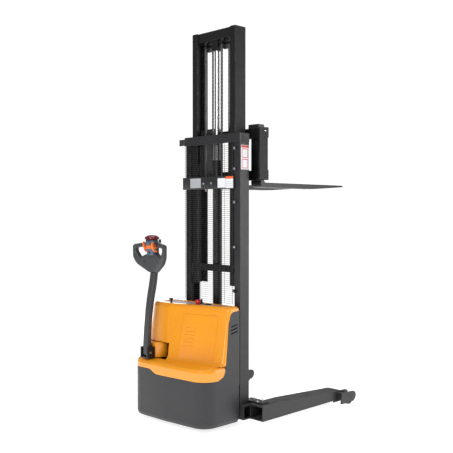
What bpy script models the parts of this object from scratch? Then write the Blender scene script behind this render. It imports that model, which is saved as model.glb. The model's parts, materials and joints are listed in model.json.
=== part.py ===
"""Walkie stacker: a pedestrian straddle-leg stacker with a two-stage mast.

Every piece is one object. Coordinates inside the script are in the machine frame: X = 0 on the mast
centreline (right is positive), Y = 0 on the rear plane of the mast (forks point to +Y), Z = 0 on the floor.
The empty named machine shifts that frame so that the whole object stands centred on the world origin.
"""

import math

import bmesh
import bpy
from mathutils import Matrix, Vector

# ---------------------------------------------------------------- driving dimensions, metres
SHIFT = (0.110, -0.4275, 0.0)  # machine frame to world
GAP = 0.0004  # clearance between pieces that touch

LEG_CENTRE_X = -0.110  # the chassis and the legs are centred left of the mast
MAST_HALF_WIDTH = 0.286
MAST_DEPTH = 0.092
MAST_FOOT_Z = 0.1504
MAST_TOP_Z = 2.060
MAST_TIE_TOP_Z = 2.080
CHANNEL_WALL = 0.010
OUTER_FLANGE = 0.058

INNER_HALF_WIDTH = 0.225
INNER_REAR_Y = 0.011
INNER_FRONT_Y = 0.119
INNER_BOTTOM_Z = 0.990
INNER_TOP_Z = 2.848
INNER_FLANGE = 0.055

BODY_RIGHT_X = 0.290
BODY_LEFT_X = -0.460
BODY_FRONT_Y = -0.012
COVER_WALL = 0.004
SKIRT_BOTTOM_Z = 0.030
SPLIT_Z = 0.358
SPLIT_LEFT_Z = 0.388
DECK_Z = 0.450
COVER_TOP_Z = 0.855

STEER_X = -0.306
STEER_Y = -0.250
HUB_RADIUS = 0.075
TILT_Y = -0.365  # tiller hinge, measured in the machine frame
TILT_Z = 0.500

CARRIAGE_HALF_WIDTH = 0.350
CARRIAGE_TOP_Z = 2.129
CARRIAGE_BOTTOM_Z = 1.751
BAR_REAR_Y = 0.196
BAR_FRONT_Y = 0.229
FORK_CENTRE_X = 0.225
FORK_WIDTH = 0.100
FORK_THICKNESS = 0.036
FORK_BOTTOM_Z = 1.700
FORK_TIP_Y = 1.250

LEG_REAR_Y = 0.065
LEG_FRONT_Y = 0.975
LEG_INNER_X = 0.320
LEG_OUTER_X = 0.445
LEG_BOTTOM_Z = 0.050
LEG_TOP_REAR_Z = 0.157
LEG_TOP_FRONT_Z = 0.120
HOUSING_INNER_X = 0.400
HOUSING_OUTER_X = 0.486
HOUSING_FRONT_Y = 1.120
LOAD_WHEEL_Y = 1.055
LOAD_WHEEL_RADIUS = 0.045

DRIVE_WHEEL_RADIUS = 0.110
CASTER_WHEEL_RADIUS = 0.060
CASTER_X = 0.150
CASTER_Y = -0.180
CASTER_TRAIL = 0.040
DECK_PLATE_Z = 0.235
HOSE_PASS_Z = 0.2565  # the pressure hose crosses the bulkhead here, under the lowered inner mast

BARREL_RADIUS = 0.034
ROD_RADIUS = 0.020
CYLINDER_Y = 0.054
GLAND_TOP_Z = 1.900
SHEAVE_X = 0.085
SHEAVE_Z = 2.745
SHEAVE_RADIUS = 0.033
REAR_ANCHOR_Z = 1.722
FRONT_ANCHOR_Z = 1.790

# ---------------------------------------------------------------- scene set-up
for old_object in list(bpy.data.objects):
    bpy.data.objects.remove(old_object, do_unlink=True)

parts = bpy.data.collections.new("walkie_stacker")
bpy.context.scene.collection.children.link(parts)
cutters = bpy.data.collections.new("cutters")
bpy.context.scene.collection.children.link(cutters)


def pivot(name, place, parent=None):
    """An empty that marks a joint axis, placed in its parent's frame."""
    empty = bpy.data.objects.new(name, None)
    empty.location = place
    empty.parent = parent
    parts.objects.link(empty)
    return empty


machine = pivot("machine", SHIFT)
steer_pivot = pivot("steer_pivot", (STEER_X, STEER_Y, 0.0), machine)
tilt_pivot = pivot("tilt_pivot", (0.0, TILT_Y - STEER_Y, TILT_Z), steer_pivot)
caster_pivot = pivot("caster_pivot", (CASTER_X, CASTER_Y, 0.0), machine)


# ---------------------------------------------------------------- materials
def finish(name, colour, roughness, metallic=0.0):
    material = bpy.data.materials.new(name)
    material.use_nodes = True
    shader = material.node_tree.nodes["Principled BSDF"]
    shader.inputs["Base Color"].default_value = (*colour, 1.0)
    shader.inputs["Roughness"].default_value = roughness
    shader.inputs["Metallic"].default_value = metallic
    material.diffuse_color = (*colour, 1.0)
    return material


def mast_paint(name):
    return finish(name, (0.035, 0.035, 0.038), 0.45)


def grey_plastic(name):
    return finish(name, (0.075, 0.075, 0.082), 0.5)


def yellow_paint(name):
    return finish(name, (1.0, 0.40, 0.012), 0.3)


def bare_steel(name):
    return finish(name, (0.6, 0.6, 0.62), 0.3, 1.0)


def chrome(name):
    return finish(name, (0.8, 0.8, 0.82), 0.08, 1.0)


def black_plastic(name):
    return finish(name, (0.02, 0.02, 0.022), 0.45)


def rubber(name):
    return finish(name, (0.03, 0.03, 0.03), 0.8)


def polyurethane(name):
    return finish(name, (0.10, 0.09, 0.08), 0.55)


def orange_plastic(name):
    return finish(name, (0.75, 0.19, 0.03), 0.35)


def red_plastic(name):
    return finish(name, (0.65, 0.01, 0.01), 0.35)


def maroon_plastic(name):
    return finish(name, (0.12, 0.008, 0.02), 0.35)


def slate_plastic(name):
    return finish(name, (0.10, 0.13, 0.18), 0.45)


# ---------------------------------------------------------------- shape helpers
def place_object(name, mesh, parent, paint, location=(0.0, 0.0, 0.0)):
    made = bpy.data.objects.new(name, mesh)
    made.parent = parent
    made.location = location
    if paint is None:
        cutters.objects.link(made)
        made.hide_render = True
        made.display_type = "WIRE"
    else:
        parts.objects.link(made)
        mesh.materials.append(paint(name + "_finish"))
    return made


def block(name, low, high, paint=None, parent=machine):
    """A box between two corners; its origin is its centre."""
    middle = [(a + b) / 2 for a, b in zip(low, high)]
    size = [b - a for a, b in zip(low, high)]
    shape = bmesh.new()
    bmesh.ops.create_cube(shape, size=1.0)
    bmesh.ops.scale(shape, vec=size, verts=shape.verts)
    mesh = bpy.data.meshes.new(name)
    shape.to_mesh(mesh)
    shape.free()
    return place_object(name, mesh, parent, paint, middle)


AXIS_TURN = {
    "X": Matrix.Rotation(math.pi / 2, 3, "Y"),
    "Y": Matrix.Rotation(-math.pi / 2, 3, "X"),
    "Z": Matrix.Identity(3),
}


def rod(name, radius, length, place, axis="Z", paint=None, parent=machine, sides=32, radius_end=None):
    """A cylinder or cone along an axis, centred on place."""
    shape = bmesh.new()
    end = radius if radius_end is None else radius_end
    bmesh.ops.create_cone(shape, cap_ends=True, segments=sides, radius1=radius, radius2=end, depth=length)
    bmesh.ops.transform(shape, matrix=AXIS_TURN[axis].to_4x4(), verts=shape.verts)
    mesh = bpy.data.meshes.new(name)
    shape.to_mesh(mesh)
    shape.free()
    mesh.shade_smooth()
    mesh.set_sharp_from_angle(angle=math.radians(35))
    return place_object(name, mesh, parent, paint, place)


def as_mesh(curve_object, name, paint, parent):
    """Replaces a curve object by the welded mesh of its evaluated shape."""
    bpy.context.view_layer.update()
    graph = bpy.context.evaluated_depsgraph_get()
    mesh = bpy.data.meshes.new_from_object(curve_object.evaluated_get(graph))
    mesh.transform(curve_object.matrix_world)
    shape = bmesh.new()
    shape.from_mesh(mesh)
    bmesh.ops.remove_doubles(shape, verts=shape.verts, dist=0.00001)
    shape.to_mesh(mesh)
    shape.free()
    mesh.name = name
    mesh.materials.clear()
    bpy.data.objects.remove(curve_object, do_unlink=True)
    return place_object(name, mesh, parent, paint)


PLANE_TURN = {
    "XY": Matrix.Identity(4),
    "YZ": Matrix(((0, 0, 1, 0), (1, 0, 0, 0), (0, 1, 0, 0), (0, 0, 0, 1))),
    "XZ": Matrix(((1, 0, 0, 0), (0, 0, -1, 0), (0, 1, 0, 0), (0, 0, 0, 1))),
}


def prism(name, outline, plane, start, stop, paint=None, parent=machine):
    """A flat outline in the named plane, extruded across it from start to stop."""
    curve = bpy.data.curves.new(name + "_outline", "CURVE")
    curve.dimensions = "2D"
    curve.fill_mode = "BOTH"
    curve.extrude = abs(stop - start) / 2
    spline = curve.splines.new("POLY")
    spline.points.add(len(outline) - 1)
    for point, (a, b) in zip(spline.points, outline):
        point.co = (a, b, 0.0, 1.0)
    spline.use_cyclic_u = True
    made = bpy.data.objects.new(name + "_outline", curve)
    parts.objects.link(made)
    middle = (start + stop) / 2
    across = -middle if plane == "XZ" else middle
    made.matrix_world = PLANE_TURN[plane] @ Matrix.Translation((0.0, 0.0, across))
    return as_mesh(made, name, paint, parent)


def boolean(target, tool, operation):
    change = target.modifiers.new(operation.lower() + "_" + tool.name, "BOOLEAN")
    change.operation = operation
    change.object = tool
    change.solver = "EXACT"
    return target


def cut(target, *tools):
    for tool in tools:
        boolean(target, tool, "DIFFERENCE")
    return target


def join(target, *tools):
    for tool in tools:
        boolean(target, tool, "UNION")
    return target


def round_edges(target, width, segments=2):
    change = target.modifiers.new("rounded_edges", "BEVEL")
    change.width = width
    change.segments = segments
    change.limit_method = "ANGLE"
    change.angle_limit = math.radians(40)
    return target


def arc(centre, radius, first, last, steps):
    """Points on a circle, angles in degrees."""
    found = []
    for i in range(steps + 1):
        angle = math.radians(first + (last - first) * i / steps)
        found.append((centre[0] + radius * math.cos(angle), centre[1] + radius * math.sin(angle)))
    return found


def rounded(corners, steps=5):
    """An outline from (x, y, radius) corners, each rounded by an arc tangent to both of its sides."""
    points = []
    count = len(corners)
    for i, (x, y, radius) in enumerate(corners):
        here = Vector((x, y))
        before = (Vector(corners[i - 1][:2]) - here).normalized()
        after = (Vector(corners[(i + 1) % count][:2]) - here).normalized()
        half = before.angle(after) / 2
        reach = radius / math.tan(half)
        start = here + before * reach
        stop = here + after * reach
        middle = here + (before + after).normalized() * (radius / math.sin(half))
        for step in range(steps + 1):
            blend = step / steps
            spoke = (start - middle) * (1.0 - blend) + (stop - middle) * blend
            point = middle + spoke.normalized() * radius
            points.append((point.x, point.y))
    return points


def grown(corners, distance):
    """The same corners moved outwards by a distance; the outline runs anticlockwise."""
    found = []
    count = len(corners)
    for i, (x, y, radius) in enumerate(corners):
        here = Vector((x, y))
        into = (here - Vector(corners[i - 1][:2])).normalized()
        out = (Vector(corners[(i + 1) % count][:2]) - here).normalized()
        normal_in = Vector((into.y, -into.x))
        normal_out = Vector((out.y, -out.x))
        miter = (normal_in + normal_out).normalized()
        shift = miter * (distance / miter.dot(normal_in))
        found.append((x + shift.x, y + shift.y, max(0.002, radius + distance)))
    return found


def loft(name, levels, paint=None, parent=machine):
    """A closed solid through horizontal outlines with equal point counts, given as (z, points)."""
    shape = bmesh.new()
    rings = []
    for z, outline in levels:
        rings.append([shape.verts.new((x, y, z)) for x, y in outline])
    for lower, upper in zip(rings, rings[1:]):
        for i in range(len(lower)):
            j = (i + 1) % len(lower)
            shape.faces.new((lower[i], lower[j], upper[j], upper[i]))
    shape.faces.new(list(reversed(rings[0])))
    shape.faces.new(rings[-1])
    bmesh.ops.recalc_face_normals(shape, faces=shape.faces)
    mesh = bpy.data.meshes.new(name)
    shape.to_mesh(mesh)
    shape.free()
    mesh.shade_smooth()
    mesh.set_sharp_from_angle(angle=math.radians(30))
    return place_object(name, mesh, parent, paint)


def mirror_x(x):
    """The same place on the other leg."""
    return 2 * LEG_CENTRE_X - x


# ---------------------------------------------------------------- outer mast
def channel_outline(side, outer_x, flange, rear_y, front_y):
    """A C section in plan, open towards the mast centre; side is -1 left or 1 right."""
    lip_x = outer_x - flange
    web_x = outer_x - CHANNEL_WALL
    outline = [
        (lip_x, rear_y),
        (outer_x, rear_y),
        (outer_x, front_y),
        (lip_x, front_y),
        (lip_x, front_y - CHANNEL_WALL),
        (web_x, front_y - CHANNEL_WALL),
        (web_x, rear_y + CHANNEL_WALL),
        (lip_x, rear_y + CHANNEL_WALL),
    ]
    return [(side * x, y) for x, y in outline]


def outer_mast():
    for side, word in ((-1, "left"), (1, "right")):
        outline = channel_outline(side, MAST_HALF_WIDTH, OUTER_FLANGE, 0.0, MAST_DEPTH)
        prism("outer_channel_" + word, outline, "XY", MAST_FOOT_Z, MAST_TOP_Z, mast_paint)
    tie_rear = -0.014
    tie_bottom = MAST_TIE_TOP_Z - 0.065
    ear_x = 0.062
    tie = block(
        "outer_top_tie",
        (-MAST_HALF_WIDTH, tie_rear, tie_bottom),
        (MAST_HALF_WIDTH + 0.010, -GAP, MAST_TIE_TOP_Z),
        mast_paint,
    )
    left_ear = block(
        "top_tie_ear",
        (-MAST_HALF_WIDTH - ear_x, tie_rear + 0.002, tie_bottom + 0.006),
        (-MAST_HALF_WIDTH + 0.02, -GAP - 0.002, MAST_TIE_TOP_Z - 0.012),
    )
    right_wrap = block(
        "top_tie_wrap",
        (MAST_HALF_WIDTH + GAP, tie_rear + 0.002, tie_bottom + 0.001),
        (MAST_HALF_WIDTH + 0.009, MAST_DEPTH - 0.008, MAST_TIE_TOP_Z - 0.001),
    )
    join(tie, left_ear, right_wrap)
    middle = block(
        "outer_middle_tie",
        (-MAST_HALF_WIDTH - 0.024, -0.012, 1.687),
        (MAST_HALF_WIDTH - 0.054, -GAP, 1.779),
        mast_paint,
    )
    round_edges(middle, 0.002)
    return middle


def mesh_guard(name, low_z, high_z, columns, rows):
    """One welded screen of the finger guard, drawn with wide openings."""
    left_x = -0.298
    right_x = 0.222
    bar = 0.008
    screen = block(name, (left_x, -0.0075, low_z), (right_x, -GAP * 2, high_z), black_plastic)
    holes = bmesh.new()
    pitch_x = (right_x - left_x - bar) / columns
    pitch_z = (high_z - low_z - bar) / rows
    for column in range(columns):
        for row in range(rows):
            middle = (
                left_x + bar / 2 + pitch_x * (column + 0.5),
                -0.004,
                low_z + bar / 2 + pitch_z * (row + 0.5),
            )
            size = (pitch_x - bar, 0.03, pitch_z - bar)
            matrix = Matrix.Translation(middle) @ Matrix.Diagonal((*size, 1.0))
            bmesh.ops.create_cube(holes, size=1.0, matrix=matrix)
    mesh = bpy.data.meshes.new(name + "_holes")
    holes.to_mesh(mesh)
    holes.free()
    return cut(screen, place_object(name + "_holes", mesh, machine, None))


def lift_cylinder():
    base_z = MAST_FOOT_Z
    barrel = rod(
        "lift_cylinder_barrel",
        BARREL_RADIUS,
        GLAND_TOP_Z - 0.045 - base_z,
        (0.0, CYLINDER_Y, (GLAND_TOP_Z - 0.045 + base_z) / 2),
        paint=mast_paint,
    )
    bore_low = base_z + 0.02
    bore_high = GLAND_TOP_Z
    bore = rod(
        "barrel_bore",
        ROD_RADIUS + 0.004,
        bore_high - bore_low,
        (0.0, CYLINDER_Y, (bore_high + bore_low) / 2),
    )
    anchor_bar = block(
        "rear_chain_anchor",
        (-SHEAVE_X - 0.02, 0.0124, REAR_ANCHOR_Z - 0.030),
        (SHEAVE_X + 0.02, CYLINDER_Y, REAR_ANCHOR_Z - 0.005),
    )
    join(barrel, anchor_bar)
    cut(barrel, bore)
    gland = rod(
        "cylinder_gland",
        BARREL_RADIUS + 0.003,
        0.0446,
        (0.0, CYLINDER_Y, GLAND_TOP_Z - 0.0223),
        paint=mast_paint,
    )
    cut(gland, rod("gland_bore", ROD_RADIUS + GAP, 0.1, (0.0, CYLINDER_Y, GLAND_TOP_Z)))
    rod_top = SHEAVE_Z - 0.045
    rod_bottom = INNER_BOTTOM_Z + 0.12
    rod(
        "piston_rod",
        ROD_RADIUS,
        rod_top - rod_bottom,
        (0.0, CYLINDER_Y, (rod_top + rod_bottom) / 2),
        paint=chrome,
    )


def rod_head():
    """Crosshead on the rod: it carries the sheave pin and pushes the inner mast."""
    head = block(
        "rod_head",
        (-0.030, CYLINDER_Y - 0.028, SHEAVE_Z - 0.0446),
        (0.030, CYLINDER_Y + 0.028, INNER_TOP_Z - 0.0704),
        black_plastic,
    )
    pin = rod("sheave_pin", 0.010, 0.26, (0.0, CYLINDER_Y, SHEAVE_Z), "X")
    join(head, pin)
    for side, word in ((-1, "left"), (1, "right")):
        sheave = rod(
            "chain_sheave_" + word,
            SHEAVE_RADIUS,
            0.022,
            (side * SHEAVE_X, CYLINDER_Y, SHEAVE_Z),
            "X",
            bare_steel,
        )
        bore = rod(
            "sheave_bore_" + word, 0.0104, 0.1, (side * SHEAVE_X, CYLINDER_Y, SHEAVE_Z), "X"
        )
        cut(sheave, bore)


def lift_chains():
    """The straight strands of the two leaf chains, on the rear and front of the sheaves."""
    half_width = 0.009
    half_depth = 0.004
    reach = SHEAVE_RADIUS + half_depth + GAP
    for side, word in ((-1, "left"), (1, "right")):
        x = side * SHEAVE_X
        for name, y, low in (
            ("chain_rear_", CYLINDER_Y - reach, REAR_ANCHOR_Z - 0.0046),
            ("chain_front_", CYLINDER_Y + reach, FRONT_ANCHOR_Z),
        ):
            block(
                name + word,
                (x - half_width, y - half_depth, low),
                (x + half_width, y + half_depth, SHEAVE_Z),
                bare_steel,
            )


# ---------------------------------------------------------------- inner mast
def inner_mast():
    for side, word in ((-1, "left"), (1, "right")):
        outline = channel_outline(side, INNER_HALF_WIDTH, INNER_FLANGE, INNER_REAR_Y, INNER_FRONT_Y)
        prism("inner_channel_" + word, outline, "XY", INNER_BOTTOM_Z, INNER_TOP_Z, mast_paint)
        roller_x = INNER_HALF_WIDTH + 0.0235
        roller = rod(
            "inner_roller_" + word,
            0.0355,
            0.045,
            (side * roller_x, MAST_DEPTH / 2, INNER_BOTTOM_Z + 0.08),
            "X",
            bare_steel,
        )
        round_edges(roller, 0.003)
    inside = INNER_HALF_WIDTH - CHANNEL_WALL - GAP
    top_tie = block(
        "inner_top_tie",
        (-inside, INNER_REAR_Y + CHANNEL_WALL + GAP, INNER_TOP_Z - 0.070),
        (inside, INNER_FRONT_Y - CHANNEL_WALL - GAP, INNER_TOP_Z - 0.002),
        mast_paint,
    )
    hollow = block(
        "top_tie_hollow",
        (-inside - 0.01, INNER_REAR_Y + 0.026, INNER_TOP_Z - 0.060),
        (inside + 0.01, INNER_FRONT_Y, INNER_TOP_Z + 0.010),
    )
    cut(top_tie, hollow)
    block(
        "inner_bottom_tie",
        (-INNER_HALF_WIDTH + 0.001, 0.0012, 1.088),
        (INNER_HALF_WIDTH - 0.001, INNER_REAR_Y - GAP, 1.139),
        mast_paint,
    )


# ---------------------------------------------------------------- carriage and forks
def carriage():
    plate_x = 0.150
    frame = block(
        "carriage_frame",
        (-CARRIAGE_HALF_WIDTH, BAR_REAR_Y, CARRIAGE_TOP_Z - 0.074),
        (CARRIAGE_HALF_WIDTH, BAR_FRONT_Y, CARRIAGE_TOP_Z),
        mast_paint,
    )
    lower_bar = block(
        "carriage_lower_bar",
        (-CARRIAGE_HALF_WIDTH, BAR_REAR_Y, CARRIAGE_BOTTOM_Z),
        (CARRIAGE_HALF_WIDTH, BAR_FRONT_Y, CARRIAGE_BOTTOM_Z + 0.072),
    )
    join(frame, lower_bar)
    for side in (-1, 1):
        inner_x = plate_x - 0.012
        plate = block(
            "carriage_roller_plate",
            (min(side * inner_x, side * plate_x), 0.030, CARRIAGE_BOTTOM_Z + 0.002),
            (max(side * inner_x, side * plate_x), BAR_FRONT_Y - 0.010, CARRIAGE_TOP_Z - 0.002),
        )
        end_x = CARRIAGE_HALF_WIDTH - 0.002
        end_plate = block(
            "carriage_end_plate",
            (min(side * (end_x - 0.014), side * end_x), 0.136, CARRIAGE_BOTTOM_Z + 0.004),
            (max(side * (end_x - 0.014), side * end_x), BAR_FRONT_Y - 0.006, CARRIAGE_TOP_Z - 0.004),
        )
        pin_z = CARRIAGE_BOTTOM_Z + 0.09
        stub = rod("carriage_stub", 0.012, 0.060, (side * 0.170, 0.065, pin_z), "X", sides=20)
        join(frame, stub)
        join(frame, plate, end_plate)
        word = "left" if side < 0 else "right"
        name = "carriage_roller_" + word
        roller = rod(name, 0.043, 0.034, (side * 0.187, 0.065, pin_z), "X", bare_steel)
        cut(roller, rod(name + "_bore", 0.0124, 0.1, (side * 0.187, 0.065, pin_z), "X", sides=20))
    chain_bar = block(
        "front_chain_anchor",
        (-plate_x + 0.002, 0.0925, FRONT_ANCHOR_Z - 0.030),
        (plate_x - 0.002, 0.112, FRONT_ANCHOR_Z - GAP),
    )
    join(frame, chain_bar)


def fork(word, side):
    """An L-shaped fork: a hooked shank on the carriage bars and a tapered blade."""
    shank_rear = BAR_FRONT_Y + GAP
    shank_front = shank_rear + FORK_THICKNESS
    blade_top = FORK_BOTTOM_Z + FORK_THICKNESS
    hook_top = CARRIAGE_TOP_Z + 0.030
    bend = 0.030
    outline = [(shank_rear, FORK_BOTTOM_Z + bend)]
    outline += arc((shank_rear + bend, FORK_BOTTOM_Z + bend), bend, 185, 270, 5)
    outline += [
        (FORK_TIP_Y - 0.40, FORK_BOTTOM_Z),
        (FORK_TIP_Y, blade_top - 0.012),
        (FORK_TIP_Y - 0.004, blade_top),
    ]
    outline += [
        (shank_front + 0.012, blade_top),
        (shank_front, blade_top + 0.012),
        (shank_front, hook_top - 0.008),
        (shank_front - 0.008, hook_top),
        (BAR_REAR_Y + 0.004, hook_top),
        (BAR_REAR_Y + 0.004, CARRIAGE_TOP_Z + GAP),
        (shank_rear, CARRIAGE_TOP_Z + GAP),
    ]
    x = side * FORK_CENTRE_X
    made = prism("fork_" + word, outline, "YZ", x - FORK_WIDTH / 2, x + FORK_WIDTH / 2, mast_paint)
    for edge in (-1, 1):
        taper = prism(
            "fork_taper_" + word + ("_outer" if edge > 0 else "_inner"),
            [
                (x + edge * FORK_WIDTH / 2, FORK_TIP_Y - 0.16),
                (x + edge * (FORK_WIDTH / 2 + 0.02), FORK_TIP_Y - 0.16),
                (x + edge * (FORK_WIDTH / 2 + 0.02), FORK_TIP_Y + 0.02),
                (x + edge * FORK_WIDTH * 0.28, FORK_TIP_Y + 0.02),
            ],
            "XY",
            FORK_BOTTOM_Z - 0.02,
            blade_top + 0.02,
        )
        cut(made, taper)
    return made


# ---------------------------------------------------------------- body covers
SKIRT_PLAN = [
    (BODY_RIGHT_X, BODY_FRONT_Y, 0.004),
    (BODY_LEFT_X, BODY_FRONT_Y, 0.004),
    (BODY_LEFT_X, -0.388, 0.100),
    (-0.100, -0.380, 0.500),
    (BODY_RIGHT_X, -0.345, 0.120),
]
PANEL_LOW_PLAN = [
    (BODY_RIGHT_X, BODY_FRONT_Y, 0.004),
    (BODY_LEFT_X, BODY_FRONT_Y, 0.004),
    (BODY_LEFT_X, -0.290, 0.110),
    (-0.160, -0.290, 0.200),
    (BODY_RIGHT_X, -0.165, 0.025),
]
PANEL_HIGH_PLAN = [
    (BODY_RIGHT_X, BODY_FRONT_Y, 0.004),
    (BODY_LEFT_X + 0.030, BODY_FRONT_Y, 0.004),
    (BODY_LEFT_X + 0.030, -0.245, 0.110),
    (-0.190, -0.247, 0.200),
    (BODY_RIGHT_X, -0.105, 0.025),
]


def pushed_back(plan, distance):
    """The plan with only its rear corners moved towards the driver."""
    return [(x, y - distance if y < BODY_FRONT_Y else y, radius) for x, y, radius in plan]


TRAY_PLAN = [
    (0.235, -0.050, 0.020),
    (-0.350, -0.050, 0.020),
    (-0.350, -0.190, 0.020),
    (-0.190, -0.205, 0.020),
    (0.235, -0.085, 0.010),
]
TRAY_TOP_Z = COVER_TOP_Z - COVER_WALL - GAP
TRAY_THICKNESS = 0.006


def between(low, high, share):
    """A plan part of the way from one plan to another."""
    return [tuple(a + (b - a) * share for a, b in zip(p, q)) for p, q in zip(low, high)]


def cover_levels(inset, top_z, bottom_z):
    """Sections of the upper cover: the deck lip, the deck fillet, and the leaning panel."""
    levels = []
    for z, out in ((bottom_z, 0.0), (DECK_Z - 0.030, 0.0), (DECK_Z - 0.009, -0.006), (DECK_Z, -0.022)):
        levels.append((z, rounded(grown(SKIRT_PLAN, out - inset))))
    panel_start = DECK_Z + 0.002
    height = COVER_TOP_Z - panel_start
    for z, out in ((panel_start, 0.028), (DECK_Z + 0.010, 0.012), (DECK_Z + 0.032, 0.0)):
        plan = between(PANEL_LOW_PLAN, PANEL_HIGH_PLAN, (z - panel_start) / height)
        levels.append((z, rounded(grown(pushed_back(plan, out), -inset))))
    for z, out in ((COVER_TOP_Z - 0.030, 0.0), (COVER_TOP_Z - 0.009, -0.005), (COVER_TOP_Z, -0.016)):
        plan = between(PANEL_LOW_PLAN, PANEL_HIGH_PLAN, (z - panel_start) / height)
        levels.append((z, rounded(grown(plan, out - inset))))
    drop = COVER_TOP_Z - top_z
    return [(z - drop if z > bottom_z else z, outline) for z, outline in levels]


def side_panel_outline(clearance):
    """Side view of the dark panel that runs up beside the yellow cover."""
    c = clearance
    return [
        (BODY_FRONT_Y + 0.002 + c * 2, 0.300),
        (BODY_FRONT_Y + 0.002 + c * 2, 0.826 + c),
        (-0.070, 0.820 + c),
        (-0.090 - c, 0.812 + c),
        (-0.100 - c, 0.795),
        (-0.113 - c, 0.745),
        (-0.142 - c, 0.480),
        (-0.152 - c, 0.410),
        (-0.170 - c, 0.378),
        (-0.215, SPLIT_Z + c * 2),
        (-0.230, 0.300),
    ]


def below_split_outline(clearance):
    """Rear view of the room below the line where the two covers meet; it steps up on the left."""
    z = SPLIT_Z + clearance
    step = SPLIT_LEFT_Z + clearance
    return [
        (BODY_RIGHT_X + 0.1, -0.1),
        (BODY_RIGHT_X + 0.1, z),
        (-0.185, z),
        (-0.205, z + 0.006),
        (-0.240, step - 0.006),
        (-0.258, step),
        (BODY_LEFT_X - 0.1, step),
        (BODY_LEFT_X - 0.1, -0.1),
    ]


def upper_cover():
    low_z = SPLIT_Z - 0.02
    cover = loft("upper_cover", cover_levels(0.0, COVER_TOP_Z, low_z), yellow_paint)
    hollow = loft("cover_hollow", cover_levels(COVER_WALL, COVER_TOP_Z - COVER_WALL, low_z - 0.02))
    open_front = block(
        "cover_open_front",
        (BODY_LEFT_X + 0.036, BODY_FRONT_Y - 0.03, 0.2),
        (BODY_RIGHT_X - 0.005, 0.1, COVER_TOP_Z - 0.008),
    )
    split = prism("cover_split", below_split_outline(GAP), "XZ", -0.6, 0.2)
    right_panel = prism(
        "cover_right_cut", side_panel_outline(GAP * 2), "YZ", BODY_RIGHT_X - 0.008, BODY_RIGHT_X + 0.1
    )
    pocket = block("hub_pocket", (-0.425, -0.50, DECK_Z + 0.004), (-0.165, -0.10, 0.572))
    motor_room = rod("hub_room", HUB_RADIUS + 0.006, 0.2, (STEER_X, STEER_Y, DECK_Z))
    tray_room = prism("tray_room", rounded(TRAY_PLAN), "XY", COVER_TOP_Z - 0.03, COVER_TOP_Z + 0.03)
    return cut(cover, hollow, open_front, split, right_panel, pocket, motor_room, tray_room)


def skirt():
    levels = []
    for z, out in (
        (SKIRT_BOTTOM_Z, -0.022),
        (SKIRT_BOTTOM_Z + 0.008, -0.009),
        (SKIRT_BOTTOM_Z + 0.030, 0.0),
        (SPLIT_LEFT_Z + 0.03, 0.0),
    ):
        levels.append((z, rounded(grown(SKIRT_PLAN, out))))
    cover = loft("skirt_cover", levels, grey_plastic)
    inner_levels = []
    for z, out in (
        (SKIRT_BOTTOM_Z - 0.02, -0.026),
        (SKIRT_BOTTOM_Z + 0.008, -0.013),
        (SKIRT_BOTTOM_Z + 0.030, -COVER_WALL),
        (SPLIT_LEFT_Z + 0.05, -COVER_WALL),
    ):
        inner_levels.append((z, rounded(grown(SKIRT_PLAN, out))))
    hollow = loft("skirt_hollow", inner_levels)
    above = prism(
        "above_split",
        [(x, z if z > 0 else 0.6) for x, z in below_split_outline(0.0)],
        "XZ",
        -0.6,
        0.2,
    )
    front = block(
        "skirt_open_front",
        (BODY_LEFT_X + 0.006, BODY_FRONT_Y - 0.01, -0.1),
        (BODY_RIGHT_X - 0.006, 0.1, 0.6),
    )
    cut(cover, hollow, above, front)
    right = prism(
        "side_panel_right",
        side_panel_outline(0.0),
        "YZ",
        BODY_RIGHT_X - 0.0042,
        BODY_RIGHT_X - 0.0002,
    )
    join(cover, right)
    for i in range(3):
        z = 0.672 + 0.024 * i
        slot = [(-0.095, z - 0.008), (-0.030, z + 0.006), (-0.030, z + 0.014), (-0.095, z)]
        cut(cover, prism("vent_slot_" + str(i), slot, "YZ", BODY_RIGHT_X - 0.02, BODY_RIGHT_X + 0.02))
    return cover


STOP_PLACE = (-0.015, -0.130)
STOP_RADIUS = 0.011
KEY_PLACE = (-0.037, -0.073)
INDICATOR_PLACE = (0.036, -0.083)
FILLER_PLACE = (-0.253, -0.178)


def top_tray():
    """A flat tray that hangs under the rim of the opening in the cover's top."""
    outline = rounded(grown(TRAY_PLAN, 0.008))
    tray = prism("top_tray", outline, "XY", TRAY_TOP_Z - TRAY_THICKNESS, TRAY_TOP_Z, grey_plastic)
    return cut(tray, rod("stop_hole", STOP_RADIUS + 0.0006, 0.1, (*STOP_PLACE, COVER_TOP_Z)))


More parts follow.
